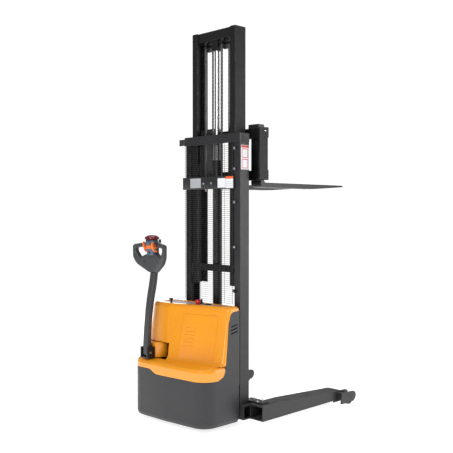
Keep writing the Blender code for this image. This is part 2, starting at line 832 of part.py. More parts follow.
# ---------------------------------------------------------------- chassis and what it carries
def chassis():
    frame = block(
        "chassis_frame",
        (mirror_x(LEG_INNER_X) + GAP, 0.0, LEG_BOTTOM_Z),
        (LEG_INNER_X - GAP, 0.100, MAST_FOOT_Z - GAP),
        mast_paint,
    )
    tube_room = block(
        "cross_beam_hollow",
        (mirror_x(LEG_INNER_X) - 0.1, 0.008, LEG_BOTTOM_Z + 0.008),
        (LEG_INNER_X + 0.1, 0.092, MAST_FOOT_Z - 0.010),
    )
    cut(frame, tube_room)
    bulkhead = block(
        "bulkhead",
        (BODY_LEFT_X + 0.042, BODY_FRONT_Y + 0.003, LEG_BOTTOM_Z + 0.02),
        (BODY_RIGHT_X - 0.014, 0.002, 0.760),
    )
    deck_low = (BODY_LEFT_X + 0.045, -0.310, DECK_PLATE_Z)
    deck = block("deck_plate", deck_low, (BODY_RIGHT_X - 0.050, BODY_FRONT_Y + 0.006, DECK_PLATE_Z + 0.010))
    join(frame, bulkhead, deck)
    mast_room = block("mast_clearance", (-0.6, -0.0004, MAST_FOOT_Z - 0.0003), (0.6, 0.01, 0.9))
    drive_hole = rod("drive_hole", 0.0705, 0.2, (STEER_X, STEER_Y, DECK_PLATE_Z))
    hose_hole = rod("hose_hole", 0.0150, 0.06, (-0.109, -0.004, HOSE_PASS_Z + 0.005), "Y", sides=24)
    return cut(frame, mast_room, drive_hole, hose_hole)


def leg(word, flip):
    """A tapered box leg with the wheel housing at its end; flip maps x to this leg's side."""

    def span(a, b):
        return min(flip(a), flip(b)), max(flip(a), flip(b))

    low_x, high_x = span(LEG_INNER_X, LEG_OUTER_X)
    side_view = [
        (LEG_REAR_Y, LEG_BOTTOM_Z),
        (LEG_FRONT_Y, LEG_BOTTOM_Z),
        (LEG_FRONT_Y, LEG_TOP_FRONT_Z),
        (0.330, LEG_TOP_REAR_Z),
        (LEG_REAR_Y, LEG_TOP_REAR_Z),
    ]
    made = prism("leg_" + word, side_view, "YZ", low_x, high_x, mast_paint)
    inner_low, inner_high = span(LEG_INNER_X + 0.008, LEG_OUTER_X - 0.008)
    inner_view = [
        (LEG_REAR_Y - 0.05, LEG_BOTTOM_Z + 0.008),
        (LEG_FRONT_Y - 0.02, LEG_BOTTOM_Z + 0.008),
        (LEG_FRONT_Y - 0.02, LEG_TOP_FRONT_Z - 0.008),
        (0.330, LEG_TOP_REAR_Z - 0.009),
        (LEG_REAR_Y - 0.05, LEG_TOP_REAR_Z - 0.009),
    ]
    cut(made, prism("leg_hollow_" + word, inner_view, "YZ", inner_low, inner_high))
    plate_view = [(LEG_FRONT_Y - 0.045, 0.022), (1.090, 0.022)]
    plate_view += arc((1.082, 0.065), 0.038, -60, 80, 7)
    plate_view += [(LEG_FRONT_Y - 0.045, 0.108)]
    for a, b in ((HOUSING_INNER_X, 0.411), (0.475, HOUSING_OUTER_X)):
        low, high = span(a, b)
        tag = word + ("_inner" if a < 0.45 else "_outer")
        join(made, prism("housing_plate_" + tag, plate_view, "YZ", low, high))
    low, high = span(HOUSING_INNER_X + 0.002, HOUSING_OUTER_X - 0.002)
    back_low = (low, LEG_FRONT_Y - 0.043, 0.054)
    back_high = (high, LEG_FRONT_Y - 0.001, 0.106)
    join(made, block("housing_back_" + word, back_low, back_high))
    wheel_x = flip((HOUSING_INNER_X + HOUSING_OUTER_X) / 2)
    axle = rod(
        "load_axle_" + word,
        0.008,
        0.090,
        (wheel_x, LOAD_WHEEL_Y, LOAD_WHEEL_RADIUS),
        "X",
        sides=16,
    )
    join(made, axle)
    wheel = rod(
        "load_wheel_" + word,
        LOAD_WHEEL_RADIUS,
        0.058,
        (wheel_x, LOAD_WHEEL_Y, LOAD_WHEEL_RADIUS),
        "X",
        polyurethane,
        sides=40,
    )
    round_edges(wheel, 0.004)
    wheel_place = (wheel_x, LOAD_WHEEL_Y, LOAD_WHEEL_RADIUS)
    cut(wheel, rod("wheel_bore_" + word, 0.0084, 0.2, wheel_place, "X", sides=16))
    low, high = span(LEG_INNER_X - 0.085, LEG_INNER_X + 0.085)
    clamp = block(
        "leg_clamp_" + word,
        (low, 0.100 + GAP, LEG_TOP_REAR_Z + GAP),
        (high, 0.172, LEG_TOP_REAR_Z + 0.012),
        mast_paint,
    )
    low, high = span(LEG_INNER_X - 0.084, LEG_INNER_X - GAP)
    foot_low = (low, 0.100 + GAP, LEG_BOTTOM_Z + 0.01)
    foot_high = (high, 0.112, LEG_TOP_REAR_Z + 0.004)
    join(clamp, block("clamp_foot_" + word, foot_low, foot_high))
    return made


def battery_and_hydraulics():
    floor_z = DECK_PLATE_Z + 0.010 + GAP
    battery = block("battery", (-0.110, -0.205, floor_z), (0.215, -0.030, floor_z + 0.195), black_plastic)
    round_edges(battery, 0.006)
    tank = block("hydraulic_power_unit", (-0.135, -0.150, 0.575), (0.060, -0.030, 0.715), bare_steel)
    motor = rod("pump_motor", 0.052, 0.140, (0.120, -0.090, 0.645), "X")
    outlet = rod("pump_outlet", 0.012, 0.030, (-0.110, -0.090, 0.727))
    join(tank, motor, outlet)
    mount = block("pump_bracket", (-0.100, -0.032, 0.60), (0.020, BODY_FRONT_Y + 0.0026, 0.68))
    join(tank, mount)
    box = block("motor_controller", (-0.330, -0.090, 0.600), (-0.180, -0.0094, 0.740), black_plastic)
    round_edges(box, 0.004)
    route = [
        (-0.110, -0.090, 0.7424),
        (-0.110, -0.090, 0.758),
        (-0.118, -0.086, 0.774),
        (-0.136, -0.076, 0.780),
        (-0.152, -0.064, 0.768),
        (-0.158, -0.055, 0.740),
        (-0.157, -0.042, 0.680),
        (-0.154, -0.030, 0.610),
        (-0.148, -0.022, 0.530),
        (-0.141, -0.020, 0.440),
        (-0.135, -0.020, 0.360),
        (-0.128, -0.020, 0.300),
        (-0.121, -0.017, 0.272),
        (-0.112, -0.010, HOSE_PASS_Z),
        (-0.106, 0.003, HOSE_PASS_Z - 0.001),
        (-0.098, 0.018, 0.252),
        (-0.084, 0.034, 0.242),
        (-0.068, 0.048, 0.218),
        (-0.054, 0.0535, 0.203),
        (-0.0366, 0.054, 0.2005),
    ]
    curve = bpy.data.curves.new("hydraulic_hose", "CURVE")
    curve.dimensions = "3D"
    curve.bevel_depth = 0.007
    curve.bevel_resolution = 2
    curve.use_fill_caps = True
    spline = curve.splines.new("POLY")
    spline.points.add(len(route) - 1)
    for point, place in zip(spline.points, route):
        point.co = (*place, 1.0)
    hose = bpy.data.objects.new("hydraulic_hose", curve)
    hose.parent = machine
    parts.objects.link(hose)
    curve.materials.append(rubber("hydraulic_hose_finish"))


# ---------------------------------------------------------------- drive, steering and caster
def drive():
    top_z = DECK_Z - 0.012
    base_z = 0.226
    middle = (0.0, 0.0, (top_z + base_z) / 2)
    unit = rod("drive_unit", 0.068, top_z - base_z, middle, paint=mast_paint, parent=steer_pivot)
    side_box = block("gear_case", (-0.085, -0.055, 0.060), (-0.040, 0.055, 0.232), parent=steer_pivot)
    bridge = block("gear_bridge", (-0.085, -0.050, 0.2225), (0.060, 0.050, 0.2342), parent=steer_pivot)
    axle = rod("drive_axle", 0.018, 0.085, (0.000, 0.0, DRIVE_WHEEL_RADIUS), "X", parent=steer_pivot)
    neck = rod("hub_neck", 0.030, 0.060, (0.0, 0.0, DECK_Z), parent=steer_pivot)
    join(unit, side_box, bridge, axle, neck)
    wheel = rod(
        "drive_wheel",
        DRIVE_WHEEL_RADIUS,
        0.070,
        (0.000, 0.0, DRIVE_WHEEL_RADIUS),
        "X",
        polyurethane,
        steer_pivot,
        48,
    )
    round_edges(wheel, 0.006)
    cut(wheel, rod("drive_wheel_bore", 0.0184, 0.2, (0.0, 0.0, DRIVE_WHEEL_RADIUS), "X", parent=steer_pivot))
    hub = rod(
        "steering_hub_cover",
        HUB_RADIUS,
        0.110,
        (0.0, 0.0, DECK_Z + 0.008 + 0.055),
        paint=yellow_paint,
        parent=steer_pivot,
        sides=48,
    )
    round_edges(hub, 0.008, 3)
    hub_hollow = rod("hub_hollow", HUB_RADIUS - 0.004, 0.100, (0.0, 0.0, DECK_Z + 0.052), parent=steer_pivot)
    return cut(hub, hub_hollow)


def caster():
    stem_top = DECK_PLATE_Z - GAP
    wheel_y = CASTER_TRAIL
    stem_place = (0.0, 0.0, stem_top - 0.030)
    fork_part = rod("caster_fork", 0.035, 0.060, stem_place, paint=bare_steel, parent=caster_pivot)
    crown = block("caster_crown", (-0.036, -0.030, 0.150), (0.036, 0.070, 0.166), parent=caster_pivot)
    column = rod("caster_column", 0.020, 0.070, (0.0, 0.0, 0.190), parent=caster_pivot)
    join(fork_part, crown, column)
    for side in (-1, 1):
        low, high = sorted((side * 0.029, side * 0.0355))
        arm_low = (low, wheel_y - 0.025, 0.040)
        arm_high = (high, wheel_y + 0.025, 0.158)
        join(fork_part, block("caster_arm", arm_low, arm_high, parent=caster_pivot))
    place = (0.0, wheel_y, CASTER_WHEEL_RADIUS)
    join(fork_part, rod("caster_axle", 0.008, 0.064, place, "X", parent=caster_pivot, sides=16))
    wheel = rod("caster_wheel", CASTER_WHEEL_RADIUS, 0.050, place, "X", rubber, caster_pivot, 40)
    round_edges(wheel, 0.006)
    return cut(wheel, rod("caster_bore", 0.0084, 0.2, place, "X", parent=caster_pivot, sides=16))


# ---------------------------------------------------------------- tiller
ARM_HALF_WIDTH = 0.029
HEAD_SWEEP = 0.30


def tiller():
    hinge_y = TILT_Y - STEER_Y
    bracket = block(
        "tiller_bracket",
        (-0.040, hinge_y - 0.030, TILT_Z - 0.040),
        (0.040, -HUB_RADIUS - GAP, TILT_Z + 0.040),
        black_plastic,
        steer_pivot,
    )
    arm_room = block(
        "arm_room",
        (-ARM_HALF_WIDTH - 0.001, hinge_y - 0.05, TILT_Z - 0.030),
        (ARM_HALF_WIDTH + 0.001, hinge_y + 0.0285, TILT_Z + 0.05),
        parent=steer_pivot,
    )
    cut(bracket, arm_room)
    pin = rod("tiller_pivot_pin", 0.009, 0.092, (0.0, hinge_y, TILT_Z), "X", bare_steel, steer_pivot, 20)
    cut(bracket, rod("pin_hole", 0.0094, 0.2, (0.0, hinge_y, TILT_Z), "X", parent=steer_pivot, sides=20))

    rear = [(-0.020, -0.018), (-0.020, 0.060), (-0.010, 0.200)]
    rear += [(0.008, 0.355), (0.036, 0.498), (0.050, 0.5745)]
    front = [(0.088, 0.5745), (0.077, 0.488), (0.050, 0.355)]
    front += [(0.030, 0.200), (0.022, 0.060), (0.020, -0.018)]
    arm = prism("tiller_arm", front + rear, "YZ", -ARM_HALF_WIDTH, ARM_HALF_WIDTH, mast_paint, tilt_pivot)
    cut(arm, rod("arm_bore", 0.0094, 0.2, (0.0, 0.0, 0.0), "X", parent=tilt_pivot, sides=20))
    return arm, pin


def swept_half(name, outline, side, depth, paint=None, parent=machine):
    """One half of a plate, an outline of (x, z) points, that sweeps back towards the driver as it goes outwards."""
    made = prism(name, [(side * x, z) for x, z in outline], "XZ", -depth, depth, paint, parent)
    sweep = Matrix.Identity(4)
    sweep[1][0] = -side * HEAD_SWEEP
    made.data.transform(sweep)
    return made


def tiller_head():
    """The spade-shaped head with two grip loops swept back towards the driver, and the upright control casing."""
    head_pivot = pivot("head_pivot", (0.0, 0.075, 0.575), tilt_pivot)
    casing_pivot = pivot("casing_pivot", (0.0, 0.0483, 0.575), tilt_pivot)
    outline = [
        (-0.001, 0.0005),
        (0.031, 0.0005),
        (0.046, 0.006),
        (0.094, 0.033),
        (0.144, 0.065),
        (0.168, 0.096),
        (0.177, 0.125),
        (0.179, 0.160),
        (0.178, 0.190),
        (0.168, 0.205),
        (0.120, 0.215),
        (0.030, 0.228),
        (-0.001, 0.228),
    ]
    opening = [
        (0.030, 0.1455),
        (0.047, 0.1445),
        (0.1125, 0.115),
        (0.130, 0.126),
        (0.152, 0.165),
        (0.150, 0.180),
        (0.061, 0.1905),
        (0.030, 0.192),
    ]
    head = swept_half("tiller_head", outline, 1, 0.020, grey_plastic, head_pivot)
    join(head, swept_half("head_left_half", outline, -1, 0.020, parent=head_pivot))
    for side in (-1, 1):
        cut(head, swept_half("grip_opening", opening, side, 0.05, parent=head_pivot))
    casing_room = block("casing_room", (-0.0424, -0.09, 0.1296), (0.0424, 0.09, 0.30), parent=casing_pivot)
    cut(head, casing_room)
    round_edges(head, 0.006)
    casing = block("head_casing", (-0.042, -0.033, 0.130), (0.042, 0.033, 0.240), orange_plastic, casing_pivot)
    round_edges(casing, 0.010, 3)
    stem_hole = rod("button_stem_hole", 0.017, 0.060, (0.0, 0.0, 0.2400), parent=casing_pivot)
    room_low = (-0.0256, -0.043, 0.2025)
    room_high = (0.0256, -0.0275, 0.2285)
    rocker_room = block("rocker_room", room_low, room_high, parent=casing_pivot)
    horn_room = rod("horn_room", 0.0105, 0.015, (0.0, -0.0355, 0.146), "Y", parent=casing_pivot, sides=24)
    shaft_place = (0.0, -0.020, 0.180)
    shaft_bore = rod("shaft_bore", 0.0076, 0.2, shaft_place, "X", parent=casing_pivot, sides=20)
    cut(casing, stem_hole, rocker_room, horn_room, shaft_bore)
    button = rod(
        "safety_button", 0.054, 0.034, (0.0, 0.0, 0.2634), "Z", maroon_plastic, casing_pivot, 32, 0.038
    )
    join(button, rod("button_stem", 0.016, 0.030, (0.0, 0.0, 0.2340), parent=casing_pivot))
    paddles = rod("throttle_paddles", 0.007, 0.112, shaft_place, "X", orange_plastic, casing_pivot, 20)
    for side in (-1, 1):
        low, high = sorted((side * 0.0445, side * 0.0565))
        upper = block("paddle_upper", (low, -0.046, 0.174), (high, -0.025, 0.238), parent=casing_pivot)
        lower = block("paddle_lower", (low, -0.034, 0.152), (high, 0.006, 0.183), parent=casing_pivot)
        join(paddles, upper, lower)
    rocker_low = (-0.025, -0.0405, 0.204)
    rocker_high = (0.025, -0.0300, 0.227)
    rocker = block("lift_rocker", rocker_low, rocker_high, slate_plastic, casing_pivot)
    horn = rod("horn_button", 0.010, 0.009, (0.0, -0.0350, 0.146), "Y", slate_plastic, casing_pivot, 24)
    lever = block("lowering_lever", (0.086, -0.0356, 0.2235), (0.098, -0.0196, 0.248), black_plastic, head_pivot)
    return button, rocker, horn, lever


# ---------------------------------------------------------------- controls on the top tray
def controls():
    top_z = TRAY_TOP_Z + GAP
    stop = rod("emergency_stop", STOP_RADIUS, 0.028, (*STOP_PLACE, top_z + 0.008), paint=red_plastic)
    join(stop, rod("stop_cap", 0.021, 0.016, (*STOP_PLACE, top_z + 0.029), radius_end=0.017))
    switch = rod("key_switch", 0.011, 0.014, (*KEY_PLACE, top_z + 0.007), paint=black_plastic, sides=24)
    bow = block(
        "key_bow",
        (KEY_PLACE[0] - 0.0018, KEY_PLACE[1] - 0.010, top_z + 0.012),
        (KEY_PLACE[0] + 0.0018, KEY_PLACE[1] + 0.010, top_z + 0.034),
    )
    join(switch, bow)
    indicator = block(
        "battery_indicator",
        (INDICATOR_PLACE[0] - 0.028, INDICATOR_PLACE[1] - 0.016, top_z),
        (INDICATOR_PLACE[0] + 0.028, INDICATOR_PLACE[1] + 0.016, top_z + 0.006),
        black_plastic,
    )
    round_edges(indicator, 0.002)
    stalk = rod("filler_cap", 0.008, 0.022, (*FILLER_PLACE, top_z + 0.011), paint=black_plastic, sides=24)
    return join(stalk, rod("filler_knob", 0.015, 0.014, (*FILLER_PLACE, top_z + 0.026), sides=24))


# ---------------------------------------------------------------- build
outer_mast()
mesh_guard("mesh_guard_upper", 1.784, 2.012, 4, 4)
mesh_guard("mesh_guard_lower", 0.862, 1.682, 4, 12)
lift_cylinder()
rod_head()
lift_chains()
inner_mast()
carriage()
fork("left", -1)
fork("right", 1)
upper_cover()
skirt()
top_tray()
chassis()
leg("right", lambda x: x)
leg("left", mirror_x)
battery_and_hydraulics()
drive()
caster()
tiller()
tiller_head()
controls()
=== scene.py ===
"""Looks of the walkie stacker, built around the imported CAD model.

Lengths are metres. Places inside the functions are in the machine frame: X = 0 on the mast centreline,
Y = 0 on the rear plane of the mast, Z = 0 on the floor. at() turns them into the model's own frame.
"""

import json
import math

import bmesh
import bpy
from mathutils import Matrix, Vector

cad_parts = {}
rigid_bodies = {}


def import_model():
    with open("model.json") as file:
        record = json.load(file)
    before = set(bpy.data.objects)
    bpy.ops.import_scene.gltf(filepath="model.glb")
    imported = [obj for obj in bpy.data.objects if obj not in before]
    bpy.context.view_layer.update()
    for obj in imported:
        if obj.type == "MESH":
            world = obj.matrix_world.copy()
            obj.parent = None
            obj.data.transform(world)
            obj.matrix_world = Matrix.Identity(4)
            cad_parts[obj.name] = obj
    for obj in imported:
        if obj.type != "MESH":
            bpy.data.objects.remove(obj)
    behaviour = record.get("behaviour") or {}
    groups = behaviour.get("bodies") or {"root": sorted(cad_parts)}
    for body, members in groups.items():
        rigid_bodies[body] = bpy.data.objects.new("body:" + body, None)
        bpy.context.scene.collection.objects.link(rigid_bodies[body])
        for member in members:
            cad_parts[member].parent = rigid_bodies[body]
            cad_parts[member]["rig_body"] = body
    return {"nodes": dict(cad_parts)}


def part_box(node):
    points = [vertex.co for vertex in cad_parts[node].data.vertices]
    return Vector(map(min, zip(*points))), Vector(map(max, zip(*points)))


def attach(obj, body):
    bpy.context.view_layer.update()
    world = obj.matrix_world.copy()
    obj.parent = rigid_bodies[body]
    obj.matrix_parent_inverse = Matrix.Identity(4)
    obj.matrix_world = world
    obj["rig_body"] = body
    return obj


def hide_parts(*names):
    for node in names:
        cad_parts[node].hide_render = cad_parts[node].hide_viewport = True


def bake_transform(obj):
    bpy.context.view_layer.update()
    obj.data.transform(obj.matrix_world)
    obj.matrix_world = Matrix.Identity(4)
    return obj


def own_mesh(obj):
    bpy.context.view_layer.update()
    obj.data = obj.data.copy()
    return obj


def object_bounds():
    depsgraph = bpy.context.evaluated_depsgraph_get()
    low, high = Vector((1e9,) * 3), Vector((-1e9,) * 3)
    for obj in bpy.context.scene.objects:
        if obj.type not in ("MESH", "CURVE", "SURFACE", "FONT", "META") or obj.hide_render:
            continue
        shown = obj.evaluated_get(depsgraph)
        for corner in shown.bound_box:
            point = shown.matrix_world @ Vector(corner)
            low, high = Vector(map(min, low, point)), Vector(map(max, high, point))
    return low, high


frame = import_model()
cad_low, cad_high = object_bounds()

# ---------------------------------------------------------------- frames
left_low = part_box("outer_channel_left")[0]
right_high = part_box("outer_channel_right")[1]
MAST_X = (left_low.x + right_high.x) / 2
MAST_Y = left_low.y
TO_ROW = Matrix.Translation((MAST_X, MAST_Y, 0.0))
NODE_BODY = {n: o["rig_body"] for n, o in frame["nodes"].items()}

STEER_X, STEER_Y = -0.306, -0.250  # upright axis of the drive unit and its hub
HEAD = TO_ROW @ Matrix.Translation((STEER_X, -0.290, 1.075))
CASING = TO_ROW @ Matrix.Translation((STEER_X, -0.3167, 1.075))
HEAD_SWEEP = 0.30  # how far a grip goes back for each metre that it goes outwards
TILT = TO_ROW @ Matrix.Translation((STEER_X, -0.365, 0.500))


# ---------------------------------------------------------------- materials
def surface(
    name,
    colour,
    roughness,
    metallic=0.0,
    coat=0.0,
    mottle=0.10,
    grain=(700.0, 0.06),
    wear=None,
    dust=0.0,
    rounding=0.0012,
    specular=0.5,
):
    """A Principled finish with a mottled tint, fine grain, worn edges and a little dust on upper faces."""
    material = bpy.data.materials.new(name)
    material.use_nodes = True
    tree = material.node_tree
    nodes, links = tree.nodes, tree.links
    shader = nodes["Principled BSDF"]
    shader.inputs["Metallic"].default_value = metallic
    shader.inputs["Coat Weight"].default_value = coat
    shader.inputs["Coat Roughness"].default_value = 0.12
    shader.inputs["Specular IOR Level"].default_value = specular
    place = nodes.new("ShaderNodeTexCoord")

    def noise(scale, detail=3.0):
        made = nodes.new("ShaderNodeTexNoise")
        made.inputs["Scale"].default_value = scale
        made.inputs["Detail"].default_value = detail
        links.new(place.outputs["Object"], made.inputs["Vector"])
        return made.outputs["Fac"]

    def remap(value, low, high, to_low, to_high):
        made = nodes.new("ShaderNodeMapRange")
        for key, number in (("From Min", low), ("From Max", high), ("To Min", to_low), ("To Max", to_high)):
            made.inputs[key].default_value = number
        links.new(value, made.inputs["Value"])
        return made.outputs["Result"]

    def mix(share, first, second):
        made = nodes.new("ShaderNodeMix")
        made.data_type = "RGBA"
        links.new(share, made.inputs[0])
        for socket, value in ((made.inputs[6], first), (made.inputs[7], second)):
            if isinstance(value, tuple):
                socket.default_value = (*value, 1.0)
            else:
                links.new(value, socket)
        return made.outputs[2]

    def arithmetic(operation, first, second):
        made = nodes.new("ShaderNodeMath")
        made.operation = operation
        for socket, value in ((made.inputs[0], first), (made.inputs[1], second)):
            if isinstance(value, float):
                socket.default_value = value
            else:
                links.new(value, socket)
        return made.outputs[0]

    patches = remap(noise(5.0), 0.35, 0.65, 0.0, 1.0)
    darker = tuple(c * (1.0 - mottle) for c in colour)
    lighter = tuple(min(1.0, c * (1.0 + mottle)) for c in colour)
    tint = mix(patches, darker, lighter)
    gloss = remap(noise(38.0, 5.0), 0.3, 0.7, roughness * 0.88, min(1.0, roughness * 1.14))

    bump = nodes.new("ShaderNodeBump")
    bump.inputs["Strength"].default_value = grain[1]
    bump.inputs["Distance"].default_value = 0.001
    links.new(noise(grain[0], 2.0), bump.inputs["Height"])
    if rounding:
        bevel = nodes.new("ShaderNodeBevel")
        bevel.samples = 4
        bevel.inputs["Radius"].default_value = rounding
        links.new(bevel.outputs["Normal"], bump.inputs["Normal"])
        if wear:
            geometry = nodes.new("ShaderNodeNewGeometry")
            dot = nodes.new("ShaderNodeVectorMath")
            dot.operation = "DOT_PRODUCT"
            links.new(bevel.outputs["Normal"], dot.inputs[0])
            links.new(geometry.outputs["True Normal"], dot.inputs[1])
            edge = remap(dot.outputs["Value"], 0.995, 0.90, 0.0, 1.0)
            chips = remap(noise(55.0, 6.0), 0.46, 0.60, 0.0, 1.0)
            worn = arithmetic("MULTIPLY", arithmetic("MULTIPLY", edge, chips), wear[1])
            tint = mix(worn, tint, wear[0])
    if dust:
        geometry = nodes.new("ShaderNodeNewGeometry")
        split = nodes.new("ShaderNodeSeparateXYZ")
        links.new(geometry.outputs["Normal"], split.inputs[0])
        upward = remap(split.outputs["Z"], 0.55, 1.0, 0.0, dust)
        settled = arithmetic("MULTIPLY", upward, remap(noise(14.0, 5.0), 0.35, 0.65, 0.3, 1.0))
        tint = mix(settled, tint, (0.45, 0.43, 0.40))
    links.new(tint, shader.inputs["Base Color"])
    links.new(gloss, shader.inputs["Roughness"])
    links.new(bump.outputs["Normal"], shader.inputs["Normal"])
    return material


STEEL_SHOWING = ((0.34, 0.34, 0.35), 0.55)
mast_black = surface("mast_black", (0.009, 0.009, 0.010), 0.42, wear=STEEL_SHOWING, dust=0.06, specular=0.25)
# The second mast finish is a lighter, glossier copy of the first: painted light for the right outer channel
# and the outer ties, which carry the same black paint.
mast_painted_light = surface("mast_painted_light", (0.018, 0.018, 0.020), 0.38, wear=STEEL_SHOWING, dust=0.06, specular=0.45)
leg_black = surface("leg_black", (0.026, 0.026, 0.027), 0.40, wear=STEEL_SHOWING, dust=0.14, specular=0.4)
fork_black = surface(
    "fork_black", (0.020, 0.020, 0.021), 0.36, wear=((0.42, 0.42, 0.43), 0.8), dust=0.06, specular=0.45
)
cylinder_black = surface("cylinder_black", (0.007, 0.007, 0.008), 0.32, wear=STEEL_SHOWING, specular=0.35)
cover_yellow = surface(
    "cover_yellow",
    (0.93, 0.345, 0.010),
    0.30,
    coat=0.45,
    mottle=0.03,
    grain=(420.0, 0.035),
    wear=((0.70, 0.30, 0.02), 0.5),
    rounding=0.003,
)
skirt_grey = surface(
    "skirt_grey",
    (0.028, 0.028, 0.031),
    0.42,
    mottle=0.05,
    grain=(900.0, 0.10),
    wear=((0.18, 0.18, 0.19), 0.5),
)
tray_grey = surface("tray_grey", (0.44, 0.36, 0.36), 0.55, mottle=0.05, grain=(900.0, 0.10), dust=0.3)
tiller_grey = surface(
    "tiller_grey",
    (0.046, 0.048, 0.052),
    0.42,
    mottle=0.07,
    grain=(1100.0, 0.16),
    wear=((0.20, 0.20, 0.21), 0.4),
)
black_moulding = surface("black_moulding", (0.016, 0.016, 0.018), 0.42, grain=(900.0, 0.10))
slate_moulding = surface("slate_moulding", (0.075, 0.110, 0.160), 0.42, grain=(900.0, 0.08), rounding=0.001)
orange_moulding = surface(
    "orange_moulding", (0.83, 0.185, 0.028), 0.34, coat=0.2, mottle=0.04, rounding=0.001
)
maroon_moulding = surface(
    "maroon_moulding", (0.150, 0.006, 0.016), 0.26, coat=0.4, mottle=0.06, rounding=0.001
)
red_moulding = surface("red_moulding", (0.62, 0.008, 0.014), 0.28, coat=0.4, mottle=0.05, rounding=0.001)
# Painted shade: a dark red-brown colour for the inside of the hub pocket, where shade falls.
pocket_painted_shade = surface("pocket_painted_shade", (0.022, 0.006, 0.006), 0.40, grain=(900.0, 0.10), rounding=0.0)
zinc = surface("zinc", (0.62, 0.63, 0.65), 0.28, metallic=1.0, mottle=0.12, grain=(500.0, 0.05))
oiled_steel = surface(
    "oiled_steel", (0.16, 0.155, 0.150), 0.34, metallic=0.9, mottle=0.2, grain=(400.0, 0.08)
)
chrome = surface(
    "chrome", (0.62, 0.63, 0.65), 0.16, metallic=1.0, mottle=0.02, grain=(300.0, 0.01), rounding=0.0
)
tread = surface("tread", (0.050, 0.046, 0.042), 0.58, mottle=0.15, grain=(500.0, 0.2), dust=0.2)
rubber_black = surface("rubber_black", (0.014, 0.014, 0.015), 0.70, grain=(600.0, 0.25))
wire_black = surface("wire_black", (0.020, 0.020, 0.021), 0.40, grain=(900.0, 0.05), rounding=0.0)
label_white = surface("label_white", (0.80, 0.81, 0.84), 0.40, mottle=0.02, grain=(200.0, 0.01), rounding=0.0)
label_grey = surface("label_grey", (0.52, 0.54, 0.57), 0.32, metallic=0.35, mottle=0.04, rounding=0.0)
label_orange = surface("label_orange", (0.85, 0.12, 0.015), 0.40, mottle=0.03, rounding=0.0)
label_red = surface("label_red", (0.62, 0.030, 0.020), 0.40, mottle=0.03, rounding=0.0)


# ---------------------------------------------------------------- mesh helpers
def at(x, y, z):
    return TO_ROW @ Vector((x, y, z))


def piece(name, shape, body, material, replaces=(), matrix=TO_ROW, bevel=0.0, segments=2, sharp=35.0):
    """Turns a bmesh into a piece that rides on a body, with rounded edges and smooth round faces."""
    shape.normal_update()
    mesh = bpy.data.meshes.new(name)
    shape.to_mesh(mesh)
    shape.free()
    mesh.transform(matrix)
    mesh.shade_smooth()
    mesh.set_sharp_from_angle(angle=math.radians(sharp))
    made = bpy.data.objects.new(name, mesh)
    bpy.context.scene.collection.objects.link(made)
    mesh.materials.append(material)
    if bevel:
        change = made.modifiers.new("rounded_edges", "BEVEL")
        change.width = bevel
        change.segments = segments
        change.limit_method = "ANGLE"
        change.angle_limit = math.radians(32)
        change.harden_normals = True
    if body:
        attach(made, body)
    if replaces:
        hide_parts(*replaces)
    return made


def add_box(shape, low, high, matrix=None):
    middle = Vector([(a + b) / 2 for a, b in zip(low, high)])
    size = [abs(b - a) for a, b in zip(low, high)]
    place = Matrix.Translation(middle) @ Matrix.Diagonal((*size, 1.0))
    if matrix is not None:
        place = matrix @ place
    bmesh.ops.create_cube(shape, size=1.0, matrix=place)


def add_rod(shape, start, stop, radius, sides=24, radius_end=None):
    """A cylinder or cone between two points."""
    start, stop = Vector(start), Vector(stop)
    run = stop - start
    turn = run.to_track_quat("Z", "Y").to_matrix().to_4x4()
    place = Matrix.Translation((start + stop) / 2) @ turn
    end = radius if radius_end is None else radius_end
    bmesh.ops.create_cone(
        shape, cap_ends=True, segments=sides, radius1=radius, radius2=end, depth=run.length, matrix=place
    )


def add_turned(shape, profile, centre, axis, sides=48):
    """A profile of (along, radius) points turned about an axis through centre, closed at both ends."""
    direction = {"X": Vector((1, 0, 0)), "Y": Vector((0, 1, 0)), "Z": Vector((0, 0, 1))}[axis]
    turn = direction.to_track_quat("Z", "Y").to_matrix()
    rings = []
    for along, radius in profile:
        if radius < 1e-6:
            rings.append([shape.verts.new(turn @ Vector((0, 0, along)) + Vector(centre))])
            continue
        ring = []
        for i in range(sides):
            angle = 2 * math.pi * i / sides
            spot = Vector((radius * math.cos(angle), radius * math.sin(angle), along))
            ring.append(shape.verts.new(turn @ spot + Vector(centre)))
        rings.append(ring)
    for a, b in zip(rings, rings[1:]):
        for i in range(sides):
            j = (i + 1) % sides
            if len(a) == 1:
                shape.faces.new((a[0], b[j], b[i]))
            elif len(b) == 1:
                shape.faces.new((a[i], a[j], b[0]))
            else:
                shape.faces.new((a[i], a[j], b[j], b[i]))
    for ring, flip in ((rings[0], True), (rings[-1], False)):
        if len(ring) > 1:
            shape.faces.new(list(reversed(ring)) if flip else ring)
    bmesh.ops.recalc_face_normals(shape, faces=shape.faces)


def add_loft(shape, rings):
    """A closed skin through rings of 3-D points with equal counts."""
    made = [[shape.verts.new(p) for p in ring] for ring in rings]
    for a, b in zip(made, made[1:]):
        for i in range(len(a)):
            j = (i + 1) % len(a)
            shape.faces.new((a[i], a[j], b[j], b[i]))
    shape.faces.new(list(reversed(made[0])))
    shape.faces.new(made[-1])
    bmesh.ops.recalc_face_normals(shape, faces=shape.faces)


def add_prism(shape, outline, frame_of, start, stop):
    """An outline of (a, b) points extruded from start to stop; frame_of(a, b, t) gives the point."""
    add_loft(shape, [[frame_of(a, b, t) for a, b in outline] for t in (start, stop)])


def superellipse(half_x, half_y, power, count):
    """A rounded-rectangle ring."""
    points = []
    for i in range(count):
        angle = 2 * math.pi * i / count
        c, s = math.cos(angle), math.sin(angle)
        points.append(
            (
                half_x * math.copysign(abs(c) ** (2 / power), c),
                half_y * math.copysign(abs(s) ** (2 / power), s),
            )
        )
    return points


